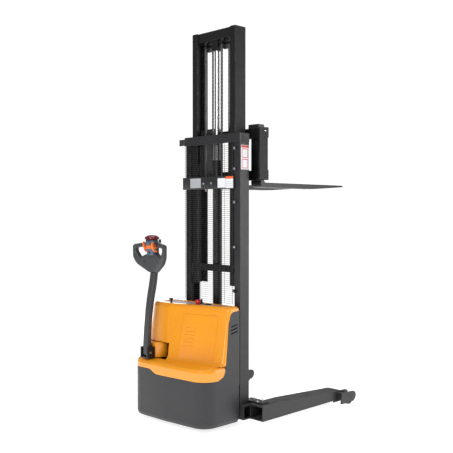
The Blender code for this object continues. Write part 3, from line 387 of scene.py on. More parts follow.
def add_bolt(shape, place, axis, size):
    """A hexagonal bolt head on its washer; axis is the direction the head faces, size half its width."""
    place, axis = Vector(place), Vector(axis).normalized()
    add_rod(shape, place, place + axis * size * 0.28, size * 1.55, 24)
    base = place + axis * size * 0.26
    add_rod(shape, base, base + axis * size * 0.85, size, 6, size * 0.94)


def smooth_curve(points, count):
    """Catmull-Rom samples through open points of any dimension."""
    found = []
    last = len(points) - 1
    for i in range(count + 1):
        t = last * i / count
        k = min(int(t), last - 1)
        u = t - k
        p = [Vector(points[max(0, min(last, k + d))]) for d in (-1, 0, 1, 2)]
        found.append(
            0.5
            * (
                2 * p[1]
                + (p[2] - p[0]) * u
                + (2 * p[0] - 5 * p[1] + 4 * p[2] - p[3]) * u**2
                + (3 * p[1] - p[0] - 3 * p[2] + p[3]) * u**3
            )
        )
    return found


def closed_curve(corners, steps=7):
    """Rounds (x, y, radius) corners with arcs tangent to both sides."""
    points = []
    count = len(corners)
    for i, (x, y, radius) in enumerate(corners):
        here = Vector((x, y))
        before = (Vector(corners[i - 1][:2]) - here).normalized()
        after = (Vector(corners[(i + 1) % count][:2]) - here).normalized()
        half = before.angle(after) / 2
        reach = radius / math.tan(half)
        start, stop = here + before * reach, here + after * reach
        middle = here + (before + after).normalized() * (radius / math.sin(half))
        for step in range(steps + 1):
            share = step / steps
            spoke = (start - middle) * (1.0 - share) + (stop - middle) * share
            spot = middle + spoke.normalized() * radius
            points.append((spot.x, spot.y))
    return points


def refined(node, bevel, material):
    """A clean copy of a CAD node, with rounded edges where a bevel is given, which stands for the node."""
    shape = bmesh.new()
    shape.from_mesh(frame["nodes"][node].data)
    bmesh.ops.remove_doubles(shape, verts=shape.verts, dist=0.00002)
    bmesh.ops.dissolve_limit(shape, angle_limit=math.radians(0.6), verts=shape.verts, edges=shape.edges)
    return piece(
        node + "_finished",
        shape,
        NODE_BODY[node],
        material,
        [node],
        Matrix.Identity(4),
        bevel,
        sharp=30.0,
    )


# ---------------------------------------------------------------- camera, light, floor
LENS_MM = 58.65
SENSOR_MM = 36.0
CAMERA_PLACE = (3.9063, -3.7372, 1.5291)
CAMERA_DOWN = 1.216  # degrees below level
CAMERA_TURN = 45.151  # degrees from +Y towards -X
camera = bpy.data.objects.new("camera", bpy.data.cameras.new("camera"))
camera.data.lens = LENS_MM
camera.data.sensor_width = SENSOR_MM
camera.data.clip_end = 100.0
camera.location = at(*CAMERA_PLACE)
camera.rotation_euler = (math.radians(90 - CAMERA_DOWN), 0.0, math.radians(CAMERA_TURN))
bpy.context.scene.collection.objects.link(camera)
bpy.context.scene.camera = camera
bpy.context.scene.view_settings.view_transform = "Standard"

BACKDROP_LIGHT = 1.05  # what the camera sees behind the floor
ROOM_LIGHT = 0.24  # what lights the machine
world = bpy.data.worlds.new("studio")
bpy.context.scene.world = world
world.use_nodes = True
sky = world.node_tree
backdrop = sky.nodes["Background"]
backdrop.inputs["Color"].default_value = (1.0, 1.0, 1.0, 1.0)
backdrop.inputs["Strength"].default_value = BACKDROP_LIGHT
room = sky.nodes.new("ShaderNodeBackground")
room.inputs["Color"].default_value = (1.0, 1.0, 1.0, 1.0)
room.inputs["Strength"].default_value = ROOM_LIGHT
seen = sky.nodes.new("ShaderNodeLightPath")
either = sky.nodes.new("ShaderNodeMixShader")
sky.links.new(seen.outputs["Is Camera Ray"], either.inputs[0])
sky.links.new(room.outputs[0], either.inputs[1])
sky.links.new(backdrop.outputs[0], either.inputs[2])
sky.links.new(either.outputs[0], sky.nodes["World Output"].inputs["Surface"])

FLOOR_GLOW = 0.82
FLOOR_HALF = 30.0
FLOOR_DROP = 0.0005  # keeps the floor just under the wheels
PALE = (0.93, 0.93, 0.93, 1.0)
floor_shape = bmesh.new()
bmesh.ops.create_grid(floor_shape, x_segments=1, y_segments=1, size=FLOOR_HALF)
floor_mesh = bpy.data.meshes.new("floor")
floor_shape.to_mesh(floor_mesh)
floor_shape.free()
floor = bpy.data.objects.new("floor", floor_mesh)
floor_material = bpy.data.materials.new("pale_floor")
floor_material.use_nodes = True
floor_finish = floor_material.node_tree.nodes["Principled BSDF"].inputs
floor_finish["Base Color"].default_value = PALE
floor_finish["Roughness"].default_value = 0.9
floor_finish["Emission Color"].default_value = (1.0, 1.0, 1.0, 1.0)
floor_finish["Emission Strength"].default_value = FLOOR_GLOW
floor_mesh.materials.append(floor_material)
floor.location = (0.0, 0.0, cad_low.z - FLOOR_DROP)
bpy.context.scene.collection.objects.link(floor)


def softbox(name, place, target, size, power):
    lamp = bpy.data.lights.new(name, "AREA")
    lamp.shape = "RECTANGLE"
    lamp.size, lamp.size_y = size
    lamp.energy = power
    made = bpy.data.objects.new(name, lamp)
    made.location = place
    made.rotation_euler = (Vector(target) - Vector(place)).to_track_quat("-Z", "Y").to_euler()
    bpy.context.scene.collection.objects.link(made)


softbox("key_right", (4.4, 3.2, 2.2), (0.0, 0.0, 1.1), (2.6, 3.8), 95)
softbox("fill_rear", (1.6, -4.6, 3.6), (0.0, -0.6, 0.7), (2.2, 2.2), 115)
softbox("top", (0.0, 0.0, 5.4), (0.0, 0.0, 0.0), (3.0, 3.0), 75)
softbox("left_front", (-4.4, 2.6, 2.4), (0.0, 0.0, 1.0), (1.6, 3.2), 45)


# ---------------------------------------------------------------- steel that keeps its CAD shape
for node, material, bevel in (
    ("outer_channel_left", mast_black, 0.0025),
    # The right outer channel and the outer ties get the lighter copy of the mast finish: painted light.
    ("outer_channel_right", mast_painted_light, 0.0025),
    ("outer_top_tie", mast_painted_light, 0.0020),
    ("outer_middle_tie", mast_painted_light, 0.0012),
    ("inner_channel_left", mast_black, 0.0025),
    ("inner_channel_right", mast_black, 0.0025),
    ("inner_top_tie", mast_black, 0.0020),
    ("inner_bottom_tie", mast_black, 0.0015),
    ("carriage_frame", mast_black, 0.0020),
    ("fork_left", fork_black, 0.0020),
    ("fork_right", fork_black, 0.0020),
    ("leg_left", leg_black, 0.0025),
    ("leg_right", leg_black, 0.0025),
    ("leg_clamp_left", leg_black, 0.0015),
    ("leg_clamp_right", leg_black, 0.0015),
    ("chassis_frame", leg_black, 0.0),
    ("rod_head", cylinder_black, 0.0015),
    ("lift_cylinder_barrel", cylinder_black, 0.0010),
    ("cylinder_gland", cylinder_black, 0.0015),
    ("piston_rod", chrome, 0.0006),
    ("tiller_bracket", black_moulding, 0.0025),
    ("tiller_pivot_pin", zinc, 0.0010),
    ("caster_fork", zinc, 0.0010),
    ("drive_unit", leg_black, 0.0015),
    ("hydraulic_power_unit", leg_black, 0.0020),
    ("skirt_cover", skirt_grey, 0.0),
    ("upper_cover", cover_yellow, 0.0),
    ("top_tray", tray_grey, 0.0),
    ("battery", black_moulding, 0.0),
    ("motor_controller", black_moulding, 0.0),
    ("battery_indicator", black_moulding, 0.0),
    ("key_switch", black_moulding, 0.0006),
    ("lowering_lever", black_moulding, 0.0020),
    ("horn_button", slate_moulding, 0.0010),
    ("lift_rocker", slate_moulding, 0.0020),
):
    refined(node, bevel, material)
# The hose keeps its CAD mesh and only gets a finish.
hose_mesh = frame["nodes"]["hydraulic_hose"].data
hose_mesh.materials.clear()
hose_mesh.materials.append(rubber_black)


# ---------------------------------------------------------------- rollers, wheels, sheaves
def turned_piece(node, profile, centre, axis, material, sides=48):
    """A turned piece that stands for a CAD node."""
    shape = bmesh.new()
    add_turned(shape, profile, centre, axis, sides)
    return piece(node + "_turned", shape, NODE_BODY[node], material, [node], sharp=28.0)


def wheel_profile(radius, width, bore, crown=0.004, dish=0.006, rim=0.72):
    """Half-section of a solid tyre on a dished hub."""
    half = width / 2
    return [
        (-half + dish, 0.0),
        (-half + dish, bore * 1.7),
        (-half + dish * 1.4, radius * rim * 0.92),
        (-half + 0.001, radius * rim),
        (-half, radius * rim + 0.002),
        (-half, radius - crown * 1.6),
        (-half + crown * 0.6, radius - crown * 0.5),
        (-half + crown * 1.8, radius),
        (half - crown * 1.8, radius),
        (half - crown * 0.6, radius - crown * 0.5),
        (half, radius - crown * 1.6),
        (half, radius * rim + 0.002),
        (half - 0.001, radius * rim),
        (half - dish * 1.4, radius * rim * 0.92),
        (half - dish, bore * 1.7),
        (half - dish, 0.0),
    ]


def centre_of(node):
    low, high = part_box(node)
    middle = (low + high) / 2
    return (middle.x - MAST_X, middle.y - MAST_Y, middle.z)


for word in ("left", "right"):
    place = centre_of("load_wheel_" + word)
    turned_piece("load_wheel_" + word, wheel_profile(0.045, 0.058, 0.009, 0.003, 0.003), place, "X", tread)
    place = centre_of("inner_roller_" + word)
    profile = wheel_profile(0.0355, 0.045, 0.010, 0.002, 0.002, 0.8)
    turned_piece("inner_roller_" + word, profile, place, "X", oiled_steel)
    place = centre_of("carriage_roller_" + word)
    profile = wheel_profile(0.043, 0.034, 0.012, 0.002, 0.002, 0.8)
    turned_piece("carriage_roller_" + word, profile, place, "X", oiled_steel)
    sheave = [
        (-0.012, 0.0),
        (-0.012, 0.030),
        (-0.0115, 0.041),
        (-0.0105, 0.0415),
        (-0.0098, 0.0335),
        (0.0098, 0.0335),
        (0.0105, 0.0415),
        (0.0115, 0.041),
        (0.012, 0.030),
        (0.012, 0.0),
    ]
    turned_piece("chain_sheave_" + word, sheave, centre_of("chain_sheave_" + word), "X", cylinder_black)
profile = wheel_profile(0.110, 0.070, 0.019, 0.006, 0.006, 0.8)
turned_piece("drive_wheel", profile, centre_of("drive_wheel"), "X", tread, 64)
profile = wheel_profile(0.060, 0.050, 0.009, 0.005, 0.004, 0.7)
turned_piece("caster_wheel", profile, centre_of("caster_wheel"), "X", rubber_black)

hub_profile = [
    (0.458, 0.0),
    (0.458, 0.070),
    (0.4595, 0.0735),
    (0.463, 0.075),
    (0.548, 0.075),
    (0.5555, 0.0745),
    (0.5615, 0.0715),
    (0.5655, 0.066),
    (0.5670, 0.058),
    (0.5675, 0.040),
    (0.5680, 0.0),
]
turned_piece("steering_hub_cover", hub_profile, (STEER_X, STEER_Y, 0.0), "Z", cover_yellow, 72)


# ---------------------------------------------------------------- finger guard of welded wire
WIRE_PITCH = 0.0150
WIRE_RADIUS = 0.00125


def wire_guard(node, columns):
    """Level wires at a fine pitch on a few upright ones; the level ones stand out at the left edge."""
    low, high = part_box(node)
    low_x, high_x = low.x - MAST_X, high.x - MAST_X
    low_z, high_z = low.z, high.z
    shape = bmesh.new()
    rows = int((high_z - low_z - 0.004) / WIRE_PITCH)
    for row in range(rows + 1):
        z = low_z + 0.003 + WIRE_PITCH * row
        add_rod(shape, (low_x, -0.0040, z), (high_x, -0.0040, z), WIRE_RADIUS, 6)
    for x in columns:
        add_rod(shape, (x, -0.0064, low_z + 0.0008), (x, -0.0064, high_z - 0.0008), WIRE_RADIUS, 6)
    return piece(node + "_wires", shape, "chassis", wire_black, [node])


wire_guard("mesh_guard_upper", (-0.286, -0.2, -0.115, -0.03, 0.055, 0.135, 0.215))
wire_guard("mesh_guard_lower", (-0.286, -0.2, -0.115, 0.135, 0.215))


# ---------------------------------------------------------------- leaf chains
CHAIN_PITCH = 0.0127
PLATE_HALF = 0.0009  # half the thickness of a link plate
PLATE_REACH = 0.0038  # half its depth
PIN_REACH, PIN_RADIUS = 0.0085, 0.0019
WIDE_ROW, NARROW_ROW = (-0.0066, -0.0022, 0.0022, 0.0066), (-0.0044, 0.0, 0.0044)
WRAP_RADIUS = 0.0374
WRAP_STEPS = 9  # link steps over half a turn of the sheave
WRAP_PLATE = 0.0088  # half the length of a plate on the sheave


def chain_strand(node, x, y, low_z, high_z):
    """Leaf-chain plates in staggered rows between the strand's two ends."""
    shape = bmesh.new()
    count = int((high_z - low_z) / CHAIN_PITCH)
    step = (high_z - low_z) / count
    for i in range(count):
        z = low_z + step * (i + 0.5)
        stack = WIDE_ROW if i % 2 else NARROW_ROW
        for offset in stack:
            add_box(
                shape,
                (x + offset - PLATE_HALF, y - PLATE_REACH, z - step * 0.72),
                (x + offset + PLATE_HALF, y + PLATE_REACH, z + step * 0.72),
            )
        pin_z = z + step / 2
        add_rod(shape, (x - PIN_REACH, y, pin_z), (x + PIN_REACH, y, pin_z), PIN_RADIUS, 8)
    made = piece(node + "_links", shape, None, oiled_steel, [node])
    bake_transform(made)


for word in ("left", "right"):
    for side_name, bodies in (("rear", ("chassis", "inner_mast")), ("front", ("carriage", "inner_mast"))):
        node = "chain_" + side_name + "_" + word
        low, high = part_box(node)
        middle = centre_of(node)
        chain_strand(node, middle[0], middle[1], low.z + 0.001, high.z)
    x, y, z = centre_of("chain_sheave_" + word)
    shape = bmesh.new()
    for i in range(WRAP_STEPS + 1):
        angle = math.pi * i / WRAP_STEPS
        spot = Vector((x, y + WRAP_RADIUS * math.cos(angle), z + WRAP_RADIUS * math.sin(angle)))
        turn = Matrix.Translation(spot) @ Matrix.Rotation(angle, 4, "X")
        stack = WIDE_ROW if i % 2 else NARROW_ROW
        for offset in stack:
            low = (offset - PLATE_HALF, -PLATE_REACH, -WRAP_PLATE)
            high = (offset + PLATE_HALF, PLATE_REACH, WRAP_PLATE)
            add_box(shape, low, high, turn)
        pin = Vector((PIN_REACH, 0, 0))
        add_rod(shape, spot - pin, spot + pin, PIN_RADIUS, 8)
    piece("chain_wrap_" + word, shape, "inner_mast", oiled_steel)


# ---------------------------------------------------------------- tiller arm, head and controls
HEAD_EDGE = 0.0085  # radius of the plate's rounded edges
HEAD_FLAT = 0.0105  # half the thickness between them
HEAD_FOLD = 0.012  # softens the fold between the two halves


def tiller_arm():
    """A rounded box arm that widens to the hinge and curves forward towards the head."""
    rear_points = [(-0.020, -0.018), (-0.0200, 0.060), (-0.010, 0.200)]
    rear_points += [(0.008, 0.355), (0.036, 0.498), (0.050, 0.574)]
    rear = smooth_curve(rear_points, 40)
    front = smooth_curve(
        [(0.020, -0.018), (0.022, 0.060), (0.030, 0.200), (0.050, 0.355), (0.077, 0.488), (0.088, 0.574)], 40
    )
    rings = []
    for i, (a, b) in enumerate(zip(rear, front)):
        share = i / 40
        half = 0.029 - 0.003 * math.sin(math.pi * share) + 0.002 * share
        depth = (b - a).length / 2
        middle = (a + b) / 2
        along = (b - a).normalized()
        power = 5.0 - 1.5 * share
        ring = []
        for u, v in superellipse(half, depth, power, 36):
            ring.append((u, middle.x + along.x * v, middle.y + along.y * v))
        rings.append(ring)
    shape = bmesh.new()
    add_loft(shape, rings)
    return piece(
        "tiller_arm_moulded", shape, "tiller", tiller_grey, ["tiller_arm"], TILT, sharp=40.0
    )


tiller_arm()


def tiller_head():
    """The spade-shaped head: a rounded plate with two grip loops swept back towards the driver."""
    half_outline = [
        (0.031, 0.000, 0.006),
        (0.048, 0.006, 0.020),
        (0.144, 0.062, 0.080),
        (0.176, 0.108, 0.060),
        (0.1795, 0.206, 0.024),
        (0.120, 0.2155, 0.060),
    ]
    top = (0.030, 0.228, 0.006)
    outline = [(-x, z, r) for x, z, r in half_outline] + [(-top[0], *top[1:]), top]
    outline += list(reversed(half_outline))
    loops = [closed_curve(outline, 10)]
    for side in (-1, 1):
        corners = [
            (side * 0.041, 0.1465, 0.004),
            (side * 0.041, 0.1925, 0.004),
            (side * 0.1515, 0.1815, 0.012),
            (side * 0.1520, 0.160, 0.030),
            (side * 0.1180, 0.110, 0.016),
        ]
        loops.append(closed_curve(corners, 8))
    curve = bpy.data.curves.new("head_outline", "CURVE")
    curve.dimensions = "2D"
    curve.fill_mode = "BOTH"
    curve.extrude = HEAD_FLAT
    curve.bevel_depth = HEAD_EDGE
    curve.bevel_resolution = 4
    curve.offset = -HEAD_EDGE
    for loop in loops:
        spline = curve.splines.new("POLY")
        spline.points.add(len(loop) - 1)
        for point, (a, b) in zip(spline.points, loop):
            point.co = (a, b, 0.0, 1.0)
        spline.use_cyclic_u = True
    holder = bpy.data.objects.new("head_outline", curve)
    bpy.context.scene.collection.objects.link(holder)
    bpy.context.view_layer.update()
    graph = bpy.context.evaluated_depsgraph_get()
    mesh = bpy.data.meshes.new_from_object(holder.evaluated_get(graph))
    shape = bmesh.new()
    shape.from_mesh(mesh)
    bpy.data.objects.remove(holder, do_unlink=True)
    bmesh.ops.remove_doubles(shape, verts=shape.verts, dist=0.00002)
    bmesh.ops.triangulate(shape, faces=[f for f in shape.faces if len(f.verts) > 4])
    for cut_x in (-0.09, -0.05, -0.02, 0.0, 0.02, 0.05, 0.09):
        geometry = shape.verts[:] + shape.edges[:] + shape.faces[:]
        bmesh.ops.bisect_plane(shape, geom=geometry, plane_co=(cut_x, 0, 0), plane_no=(1, 0, 0), dist=0.00001)
    stand = Matrix(((1, 0, 0, 0), (0, 0, -1, 0), (0, 1, 0, 0), (0, 0, 0, 1)))
    shape.transform(stand)
    for vert in shape.verts:
        reach = math.sqrt(vert.co.x**2 + HEAD_FOLD**2) - HEAD_FOLD
        vert.co.y -= HEAD_SWEEP * reach * 1.02
    return piece(
        "tiller_head_moulded", shape, "tiller", tiller_grey, ["tiller_head"], HEAD, sharp=40.0
    )


tiller_head()


def head_part(name, sections, body, material, replaces=()):
    """A lofted housing part; sections are (z, half width, half depth, y offset)."""
    rings = [[(u, v + dy, z) for u, v in superellipse(a, b, 4.0, 48)] for z, a, b, dy in sections]
    shape = bmesh.new()
    add_loft(shape, rings)
    return piece(name, shape, body, material, replaces, CASING, sharp=32.0)


head_part(
    "head_cradle",
    [
        (0.1300, 0.0330, 0.0250, 0.002),
        (0.1360, 0.0365, 0.0280, 0.002),
        (0.1600, 0.0375, 0.0295, 0.0),
        (0.1760, 0.0390, 0.0305, 0.0),
        (0.1775, 0.0400, 0.0312, 0.0),
    ],
    "tiller",
    slate_moulding,
)
head_part(
    "head_collar",
    [
        (0.1777, 0.0395, 0.0305, 0.0),
        (0.1800, 0.0418, 0.0325, 0.0),
        (0.2080, 0.0420, 0.0330, 0.0),
        (0.2130, 0.0405, 0.0315, 0.0),
    ],
    "tiller",
    orange_moulding,
    ["head_casing"],
)
head_part(
    "head_band",
    [
        (0.2132, 0.0400, 0.0310, 0.0),
        (0.2160, 0.0425, 0.0335, 0.0),
        (0.2340, 0.0450, 0.0350, 0.0),
        (0.2390, 0.0430, 0.0330, 0.0),
        (0.2402, 0.0400, 0.0300, 0.0),
    ],
    "tiller",
    slate_moulding,
)


def dome():
    """The belly button: a wide dome over the casing that is pressed when it meets the driver."""
    shape = bmesh.new()
    profile = [(0.2466, 0.0), (0.2466, 0.051), (0.2480, 0.0535), (0.2510, 0.0540)]
    for i in range(1, 11):
        angle = math.pi / 2 * i / 10
        profile.append((0.2510 + 0.0292 * math.sin(angle), 0.0540 * math.cos(angle)))
    profile[-1] = (0.2804, 0.0)
    add_turned(shape, profile, (0, 0, 0), "Z", 64)
    add_rod(shape, (0, 0, 0.240), (0, 0, 0.248), 0.016, 32)
    return piece(
        "safety_button_dome",
        shape,
        "safety_button",
        maroon_moulding,
        ["safety_button"],
        CASING,
        sharp=40.0,
    )


dome()


def paddles():
    """Two S-shaped butterfly wings on one shaft through the casing."""
    points = [(0.004, 0.158), (-0.010, 0.160), (-0.022, 0.170), (-0.027, 0.184)]
    points += [(-0.034, 0.198), (-0.038, 0.214), (-0.034, 0.230)]
    middle = smooth_curve(points, 30)
    widths = [0.0040 + 0.0055 * math.sin(math.pi * min(1.0, 0.15 + 0.80 * i / 30)) for i in range(31)]
    front, back = [], []
    for i, spot in enumerate(middle):
        before = middle[max(0, i - 1)]
        after = middle[min(30, i + 1)]
        run = (after - before).normalized()
        normal = Vector((-run.y, run.x))
        front.append(spot + normal * widths[i])
        back.append(spot - normal * widths[i])
    outline = [(p.x, p.y) for p in front] + [(p.x, p.y) for p in reversed(back)]
    shape = bmesh.new()
    for side in (-1, 1):
        add_prism(shape, outline, lambda a, b, t: (t, a, b), side * 0.0446, side * 0.0564)
    add_rod(shape, (-0.050, -0.020, 0.180), (0.050, -0.020, 0.180), 0.0070, 28)
    return piece(
        "throttle_wings",
        shape,
        "throttle",
        orange_moulding,
        ["throttle_paddles"],
        CASING,
        bevel=0.0028,
        segments=3,
    )


paddles()


# ---------------------------------------------------------------- bolts and labels on the mast
TIE_FACE = -0.0125  # rear face of the middle tie
CLIP_FACE = -0.0078  # rear face of the guard clips
LABEL_THICK = 0.0006
GUARD_BOLT_Z = (1.974, 1.829, 1.592, 1.272)
KNOB_Z = 0.959


def mast_bolts():
    """Guard and tie bolts on the rear of the mast, each with its clip."""
    bolts = bmesh.new()
    for z in GUARD_BOLT_Z:
        add_bolt(bolts, (0.235, CLIP_FACE, z), (0, -1, 0), 0.0060)
    for x in (-0.079, 0.002):
        add_bolt(bolts, (x, TIE_FACE, 1.7305), (0, -1, 0), 0.0055)
    for side in (-1, 1):
        x, y = centre_of("chain_rear_left" if side < 0 else "chain_rear_right")[:2]
        for z, size in ((1.690, 0.0072), (1.678, 0.0060)):
            add_bolt(bolts, (x, y, z), (0, 0, -1), size)
    piece("mast_bolts", bolts, "chassis", zinc, bevel=0.0006)
    clips = bmesh.new()
    for z in (*GUARD_BOLT_Z, KNOB_Z):
        add_box(clips, (0.2185, CLIP_FACE, z - 0.011), (0.2500, -0.0002, z + 0.011))
    for z in GUARD_BOLT_Z:
        add_box(clips, (-0.2760, CLIP_FACE, z - 0.011), (-0.2560, -0.0002, z + 0.011))
        add_bolt(clips, (-0.2660, CLIP_FACE, z), (0, -1, 0), 0.0050)
    add_bolt(clips, (0.238, CLIP_FACE, KNOB_Z), (0, -1, 0), 0.0085)
    piece("guard_clips", clips, "chassis", wire_black, bevel=0.0010)


def label(name, low, high, face, body, material, thick=LABEL_THICK):
    """A thin plate with rounded corners, lying on a face at the given plane ('Y-' or 'X+')."""
    shape = bmesh.new()
    (a0, z0), (a1, z1) = low, high
    radius = min(0.003, (a1 - a0) * 0.3, (z1 - z0) * 0.3)
    outline = closed_curve([(a0, z0, radius), (a1, z0, radius), (a1, z1, radius), (a0, z1, radius)], 4)
    kind, plane = face
    if kind == "Y-":
        add_prism(shape, outline, lambda a, b, t: (a, t, b), plane, plane - thick)
    else:
        add_prism(shape, outline, lambda a, b, t: (t, a, b), plane, plane + thick)
    return piece(name, shape, body, material)


FRAME_WIDTH = 0.0045  # of the blank frames on the sticker
FRAME_HALF = 0.030


def labels():
    """Blank plates and stickers in place of the data plate and the signs."""
    tie = ("Y-", TIE_FACE)
    label("data_plate", (-0.223, 1.6985), (-0.107, 1.7700), tie, "chassis", label_grey)
    label("note_label", (0.071, 1.6960), (0.150, 1.7640), tie, "chassis", label_white)
    label("load_label", (0.152, 1.6920), (0.228, 1.7580), tie, "chassis", label_white)
    label(
        "load_label_head", (0.152, 1.7584), (0.228, 1.7755), tie, "chassis", label_orange
    )
    for row, z in enumerate((1.735, 1.722, 1.709)):
        label(
            "load_label_rule_%d" % row,
            (0.158, z),
            (0.222, z + 0.0022),
            ("Y-", TIE_FACE - LABEL_THICK),
            "chassis",
            label_grey,
            0.0003,
        )
    web = ("X+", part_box("outer_channel_right")[1].x - MAST_X)
    label("web_sticker", (0.0080, 1.8220), (0.0880, 1.9950), web, "chassis", label_white)
    front = ("X+", web[1] + LABEL_THICK)
    label("web_sticker_head", (0.0105, 1.9760), (0.0855, 1.9925), front, "chassis", label_red, 0.0004)
    for number, (z0, z1) in enumerate(((1.9040, 1.9700), (1.8300, 1.8960))):
        frame_shape = bmesh.new()
        plane = front[1]
        corners = [(0.018, z0, 0.004), (0.078, z0, 0.004), (0.078, z1, 0.004), (0.018, z1, 0.004)]
        outer = closed_curve(corners, 4)
        middle = Vector((0.048, (z0 + z1) / 2))
        rings = []
        for t in (plane, plane + 0.0004):
            rings.append([frame_shape.verts.new((t, a, b)) for a, b in outer])
            inner = [middle + (Vector(p) - middle) * (1 - FRAME_WIDTH / FRAME_HALF) for p in outer]
            rings.append([frame_shape.verts.new((t, p.x, p.y)) for p in inner])
        for first, second in ((0, 1), (1, 3), (3, 2), (2, 0)):
            for i in range(len(outer)):
                j = (i + 1) % len(outer)
                frame_shape.faces.new((rings[first][i], rings[first][j], rings[second][j], rings[second][i]))
        bmesh.ops.recalc_face_normals(frame_shape, faces=frame_shape.faces)
        piece("web_sticker_frame_%d" % number, frame_shape, "chassis", label_red)


mast_bolts()
labels()


# ---------------------------------------------------------------- legs: clamp bolts
def leg_fittings():
    """Four bolts on each clamp that holds a leg."""
    for word, side in (("right", 1), ("left", -1)):
        low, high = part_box("leg_clamp_" + word)
        top_z = high.z
        outer = (high.x if side > 0 else low.x) - MAST_X
        inner = (low.x if side > 0 else high.x) - MAST_X
        rear_y, front_y = low.y - MAST_Y, high.y - MAST_Y
        shape = bmesh.new()
        for share_x, share_y in ((0.22, 0.12), (0.70, 0.12), (0.22, 0.86), (0.70, 0.86)):
            place = (inner + (outer - inner) * share_x, rear_y + (front_y - rear_y) * share_y, top_z)
            add_bolt(shape, place, (0, 0, 1), 0.0065)
        piece("leg_bolts_" + word, shape, "chassis", zinc, bevel=0.0007)


leg_fittings()


# ---------------------------------------------------------------- cover: raised rear panel, hub pocket
def cover_point(share_x, share_z, lift):
    """A point on the sloping rear face of the cover; shares run left to right and bottom to top."""
    z = 0.452 + 0.403 * share_z
    a = Vector((-0.160 - 0.030 * share_z, -0.290 + 0.043 * share_z, z))
    b = Vector((0.290, -0.165 + 0.060 * share_z, z))
    run = b - a
    normal = Vector((run.y, -run.x, 0.0)).normalized()
    return a + run * share_x + normal * lift


def cover_panel():
    """The raised inner panel and its generic moulded ribs."""
    shape = bmesh.new()
    corners = [(0.185, 0.035, 0.030), (0.800, 0.035, 0.020), (0.830, 0.840, 0.030), (0.265, 0.840, 0.030)]
    outline = closed_curve(corners, 8)
    middle = Vector((0.52, 0.44))
    rings = []
    for shrink, lift in ((1.0, -0.0005), (0.996, 0.0022), (0.988, 0.0032), (0.975, 0.0034)):
        ring = []
        for a, b in outline:
            spot = middle + (Vector((a, b)) - middle) * shrink
            ring.append(cover_point(spot.x, spot.y, lift))
        rings.append(ring)
    add_loft(shape, rings)
    piece("cover_panel", shape, "chassis", cover_yellow, sharp=50.0)
    ribs = bmesh.new()
    for row in range(6):
        z = 0.58 - 0.062 * row
        start = 0.300 - 0.012 * row
        ring_sets = []
        outline = closed_curve(
            [
                (start, z, 0.008),
                (start + 0.190, z, 0.008),
                (start + 0.190, z + 0.020, 0.008),
                (start, z + 0.020, 0.008),
            ],
            4,
        )
        centre = Vector((start + 0.095, z + 0.010))
        for shrink, lift in ((1.0, 0.0030), (0.97, 0.0052), (0.90, 0.0058)):
            ring_sets.append([cover_point(*(centre + (Vector(p) - centre) * shrink), lift) for p in outline])
        add_loft(ribs, ring_sets)
    piece("cover_ribs", ribs, "chassis", cover_yellow, sharp=50.0)


cover_panel()


def hub_pocket():
    """Painted shade: a dark sheet on the front part of the wall of the pocket that the steering hub turns in.
    """
    shape = bmesh.new()
    rows = []
    for radius, z in ((0.0835, 0.4535), (0.0885, 0.4535), (0.0885, 0.5690), (0.0835, 0.5690)):
        row = []
        for i in range(25):
            angle = math.radians(20 + 140 * i / 24)
            spot = (STEER_X + radius * math.cos(angle), STEER_Y + radius * math.sin(angle), z)
            row.append(shape.verts.new(spot))
        rows.append(row)
    for k in range(4):
        first, second = rows[k], rows[(k + 1) % 4]
        for i in range(24):
            shape.faces.new((first[i], first[i + 1], second[i + 1], second[i]))
    shape.faces.new([row[0] for row in rows])
    shape.faces.new([row[-1] for row in reversed(rows)])
    bmesh.ops.recalc_face_normals(shape, faces=shape.faces)
    piece("hub_pocket_painted_shade", shape, "chassis", pocket_painted_shade)


hub_pocket()


# ---------------------------------------------------------------- controls on the tray
def emergency_stop():
    """A ribbed mushroom knob on a collar."""
    low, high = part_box("emergency_stop")
    x, y = (low.x + high.x) / 2 - MAST_X, (low.y + high.y) / 2 - MAST_Y
    base, top = low.z, high.z
    radius = (high.x - low.x) / 2
    height = top - base
    profile = [
        (0.0, 0.0),
        (0.0, radius * 0.78),
        (height * 0.10, radius * 0.80),
        (height * 0.30, radius * 0.74),
        (height * 0.42, radius * 0.80),
        (height * 0.52, radius * 0.97),
        (height * 0.66, radius),
        (height * 0.84, radius * 0.93),
        (height * 0.95, radius * 0.70),
        (height, radius * 0.36),
        (height, 0.0),
    ]
    shape = bmesh.new()
    add_turned(shape, [(base + a, r) for a, r in profile], (x, y, 0.0), "Z", 60)
    for vert in shape.verts:
        share = (vert.co.z - base) / height
        if 0.45 < share < 0.90:
            angle = math.atan2(vert.co.y - y, vert.co.x - x)
            if math.cos(angle * 12) < -0.2:
                vert.co.x = x + (vert.co.x - x) * 0.93
                vert.co.y = y + (vert.co.y - y) * 0.93
    name = "emergency_stop"
    piece(name + "_knob", shape, name, red_moulding, [name], sharp=50.0)


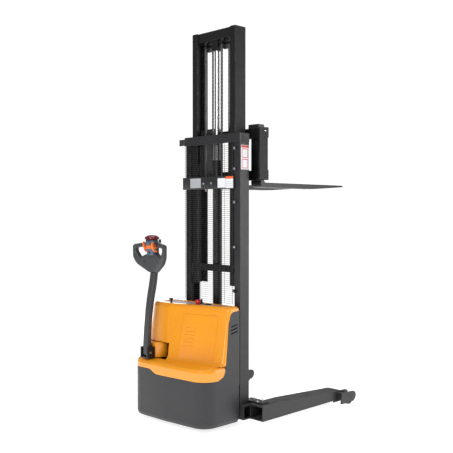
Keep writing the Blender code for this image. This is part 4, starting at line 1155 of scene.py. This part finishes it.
def filler_cap():
    """A knob with a waist on its stalk."""
    low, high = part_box("filler_cap")
    x, y = (low.x + high.x) / 2 - MAST_X, (low.y + high.y) / 2 - MAST_Y
    radius = (high.x - low.x) / 2
    base, height = low.z, high.z - low.z
    profile = [
        (0.0, 0.0),
        (0.0, radius * 0.60),
        (height * 0.12, radius * 0.58),
        (height * 0.20, radius * 0.48),
        (height * 0.52, radius * 0.46),
        (height * 0.58, radius * 0.85),
        (height * 0.66, radius),
        (height * 0.88, radius),
        (height * 0.97, radius * 0.86),
        (height, radius * 0.60),
        (height, 0.0),
    ]
    shape = bmesh.new()
    add_turned(shape, [(base + a, r) for a, r in profile], (x, y, 0.0), "Z", 48)
    piece("filler_cap_knob", shape, "chassis", black_moulding, ["filler_cap"], sharp=40.0)


def button_boot():
    """The rubber bellows between the casing and the belly button."""
    profile = [(0.2404, 0.0), (0.2404, 0.0430), (0.2410, 0.0452), (0.2418, 0.0420), (0.2428, 0.0452)]
    profile += [(0.2438, 0.0420), (0.2448, 0.0452), (0.2456, 0.0430), (0.2462, 0.0420), (0.2462, 0.0)]
    shape = bmesh.new()
    add_turned(shape, profile, (0, 0, 0), "Z", 56)
    made = piece("button_boot", shape, "tiller", rubber_black, matrix=CASING)
    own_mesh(made)


button_boot()
emergency_stop()
filler_cap()


# ---------------------------------------------------------------- carriage fittings
def carriage_fittings():
    """The bolt on the end of the upper bar."""
    shape = bmesh.new()
    add_bolt(shape, (0.348, 0.196, 2.0995), (0, 0, 1), 0.0060)
    piece("carriage_bolts", shape, "carriage", zinc, bevel=0.0006)


carriage_fittings()


# ---------------------------------------------------------------- tiller fittings
def tiller_fittings():
    """Two capped screw holes in the head."""
    shape = bmesh.new()
    for x, z in ((-0.075, 0.080), (0.075, 0.080)):
        y = -0.0196 - HEAD_SWEEP * abs(x) * 0.93
        add_rod(shape, (x, y, z), (x, y - 0.0009, z), 0.0048, 24)
    piece("head_screws", shape, "tiller", black_moulding, matrix=HEAD)


tiller_fittings()
